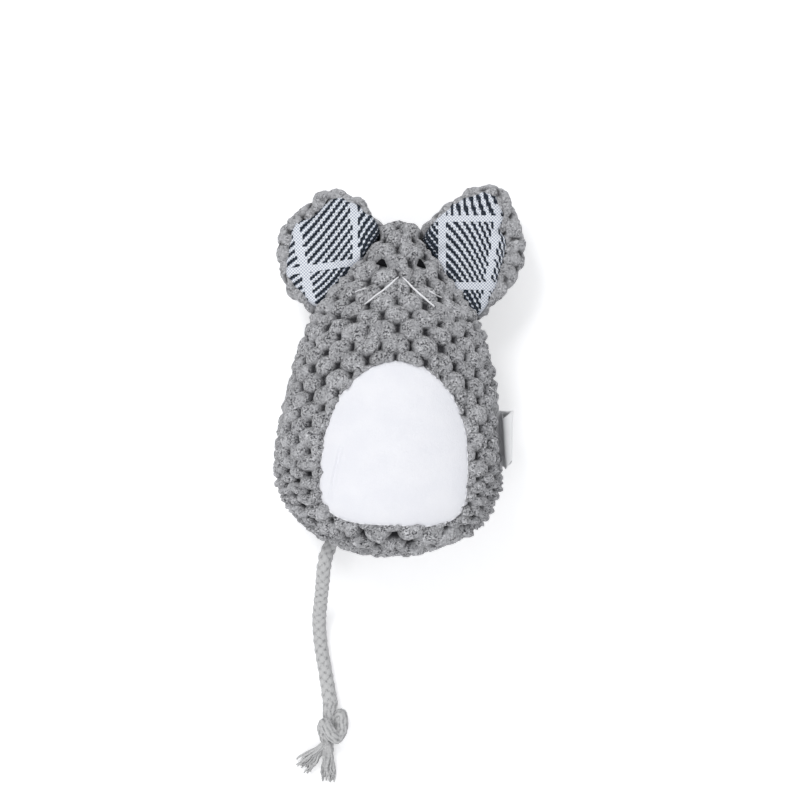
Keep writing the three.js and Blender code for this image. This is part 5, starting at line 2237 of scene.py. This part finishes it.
@dataclass
class Toy:
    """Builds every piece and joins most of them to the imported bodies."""

    plush: Material = field(default_factory=PopcornPlush().material)
    ear_plush: Material = field(
        default_factory=PopcornPlush(
            "popcorn_plush_ears",
            light=(0.62, 0.62, 0.64),
            # A lighter painted shade in the hollows of the ear plush.
            dark=(0.09, 0.09, 0.095),
            fissure=(0.17, 0.17, 0.18),
        ).material
    )
    velour: Material = field(default_factory=Velour().material)
    rope: Material = field(default_factory=CottonRope().material)
    satin: Material = field(default_factory=SatinRibbon().material)
    white_thread: Material = field(
        default_factory=PlainFibre("white_thread", (0.95, 0.95, 0.97), (0.84, 0.84, 0.86)).material
    )
    grey_thread: Material = field(
        default_factory=PlainFibre("grey_thread", (0.30, 0.30, 0.31), (0.18, 0.18, 0.19)).material
    )
    black_thread: Material = field(
        default_factory=PlainFibre(
            "black_thread", (0.008, 0.008, 0.009), (0.003, 0.003, 0.004), sheen=0.0, shine=0.1
        ).material
    )
    fibre: Material = field(
        default_factory=PlainFibre(
            "loose_fibre", (0.86, 0.86, 0.85), (0.72, 0.72, 0.71), 0.8, 1.0, 0.3, 0.4
        ).material
    )
    sachet: Material = field(
        default_factory=PlainFibre(
            "sachet_cloth", (0.50, 0.52, 0.36), (0.36, 0.38, 0.25), 0.5, 0.95, 0.1, 0.2
        ).material
    )

    def join(self, piece: Piece, body: str, slot: str, *nodes: str) -> Piece:
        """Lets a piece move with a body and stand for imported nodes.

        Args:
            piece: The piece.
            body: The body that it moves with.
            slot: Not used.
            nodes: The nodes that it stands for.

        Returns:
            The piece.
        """
        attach(piece, body)
        if nodes:
            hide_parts(*nodes)
        LOG.info("%s: %d faces, on %s", piece.name, len(piece.data.polygons), body)
        return piece

    def tail(self) -> None:
        """The rope tail, which is made first."""
        tail = Tail(self.rope)
        knot = self.join(tail.knot(), "tail", "cotton_rope", "tail_knot")
        left = tail.tuft("tail_fray_left", ((-27.0, -116.6), (-22.7, -121.2)), 38, 5)
        self.join(left, "tail", "cotton_rope", "tail_tuft_left")
        right = tail.tuft("tail_fray_right", ((-17.6, -123.2), (-12.7, -122.6)), 40, 8)
        self.join(right, "tail", "cotton_rope", "tail_tuft_right")
        rope = tail.rope()
        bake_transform(rope)
        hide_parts("tail_cord")
        LOG.info("%s: %d faces, from the body to the tail", rope.name, len(rope.data.polygons))
        self.join(tail.sewn_end(), "root", "cotton_rope", "tail_sewn_end")

    def body(self) -> Body:
        """The stuffed body, its patch and its filling.

        Returns:
            The body, which carries the face.
        """
        body = Body(BodyForm.from_frame(), PatchForm(), Popcorn())
        for face, node in ((Face.FRONT, "body_front_panel"), (Face.BACK, "body_back_panel")):
            self.join(body.panel(face, self.plush), "root", "plush", node)
        self.join(body.patch_piece(self.velour), "root", "velour", "belly_patch")
        self.join(body.patch_stitches(self.white_thread), "root", "light_thread", "belly_patch_stitch")
        stuffing = Stuffing()
        for node in ("filling_front", "filling_back", "filling_head"):
            wad = stuffing.piece(node, f"{node}_fibre", self.fibre)
            self.join(wad, "root", "fibre", node)
        pouch = stuffing.piece("catnip_sachet", "sachet_pouch", self.sachet, 0.6)
        self.join(pouch, "root", "sachet_cloth", "catnip_sachet")
        return body

    def face(self, body: Body) -> None:
        """Eyes and whiskers.

        Args:
            body: The body that carries them.
        """
        face = EyesAndWhiskers(body)
        for side in Side:
            self.join(face.eye(side, self.black_thread), "root", "dark_thread", f"eye_{side.word}")
        for node, (ends, bow, thin) in WHISKERS.items():
            piece = face.whisker(f"{node}_thread", ends, bow, thin, self.white_thread)
            self.join(piece, "root", "light_thread", node)

    def ears(self) -> None:
        """Both ears, which come out of the seam."""
        for form in EARS:
            word = form.side.word
            pieces = (
                (form.plush_back(self.ear_plush), "plush", f"ear_{word}_plush_back"),
                (form.woven_front(CHECKS[form.side].material()), "woven_check", f"ear_{word}_woven_front"),
                (form.wadding(self.fibre), "fibre", f"ear_{word}_wadding"),
            )
            for piece, slot, node in pieces:
                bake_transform(piece)
                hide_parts(node)
                LOG.info("%s: %d faces, from the body to the ear", piece.name, len(piece.data.polygons))
            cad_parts[f"ear_{word}_sewn_tab"].data.materials[0] = self.grey_thread

    def label(self) -> None:
        """The ribbon label, held in the seam."""
        piece = SeamLabel().ribbon(self.satin)
        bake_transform(piece)
        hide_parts("care_label")
        LOG.info("%s: %d faces", piece.name, len(piece.data.polygons))

    def threads(self) -> None:
        """Threads that stay as they are packed get their finish."""
        for node in ("side_seam_thread", "closing_thread", "tail_tack"):
            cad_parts[node].data.materials[0] = self.grey_thread


def main() -> None:
    """Builds the scene."""
    logging.basicConfig(level=logging.INFO, format="%(message)s")
    studio = Studio()
    studio.camera()
    toy = Toy()
    toy.tail()
    studio.build()
    body = toy.body()
    toy.face(body)
    toy.ears()
    toy.label()
    toy.threads()


if __name__ == "__main__":
    main()
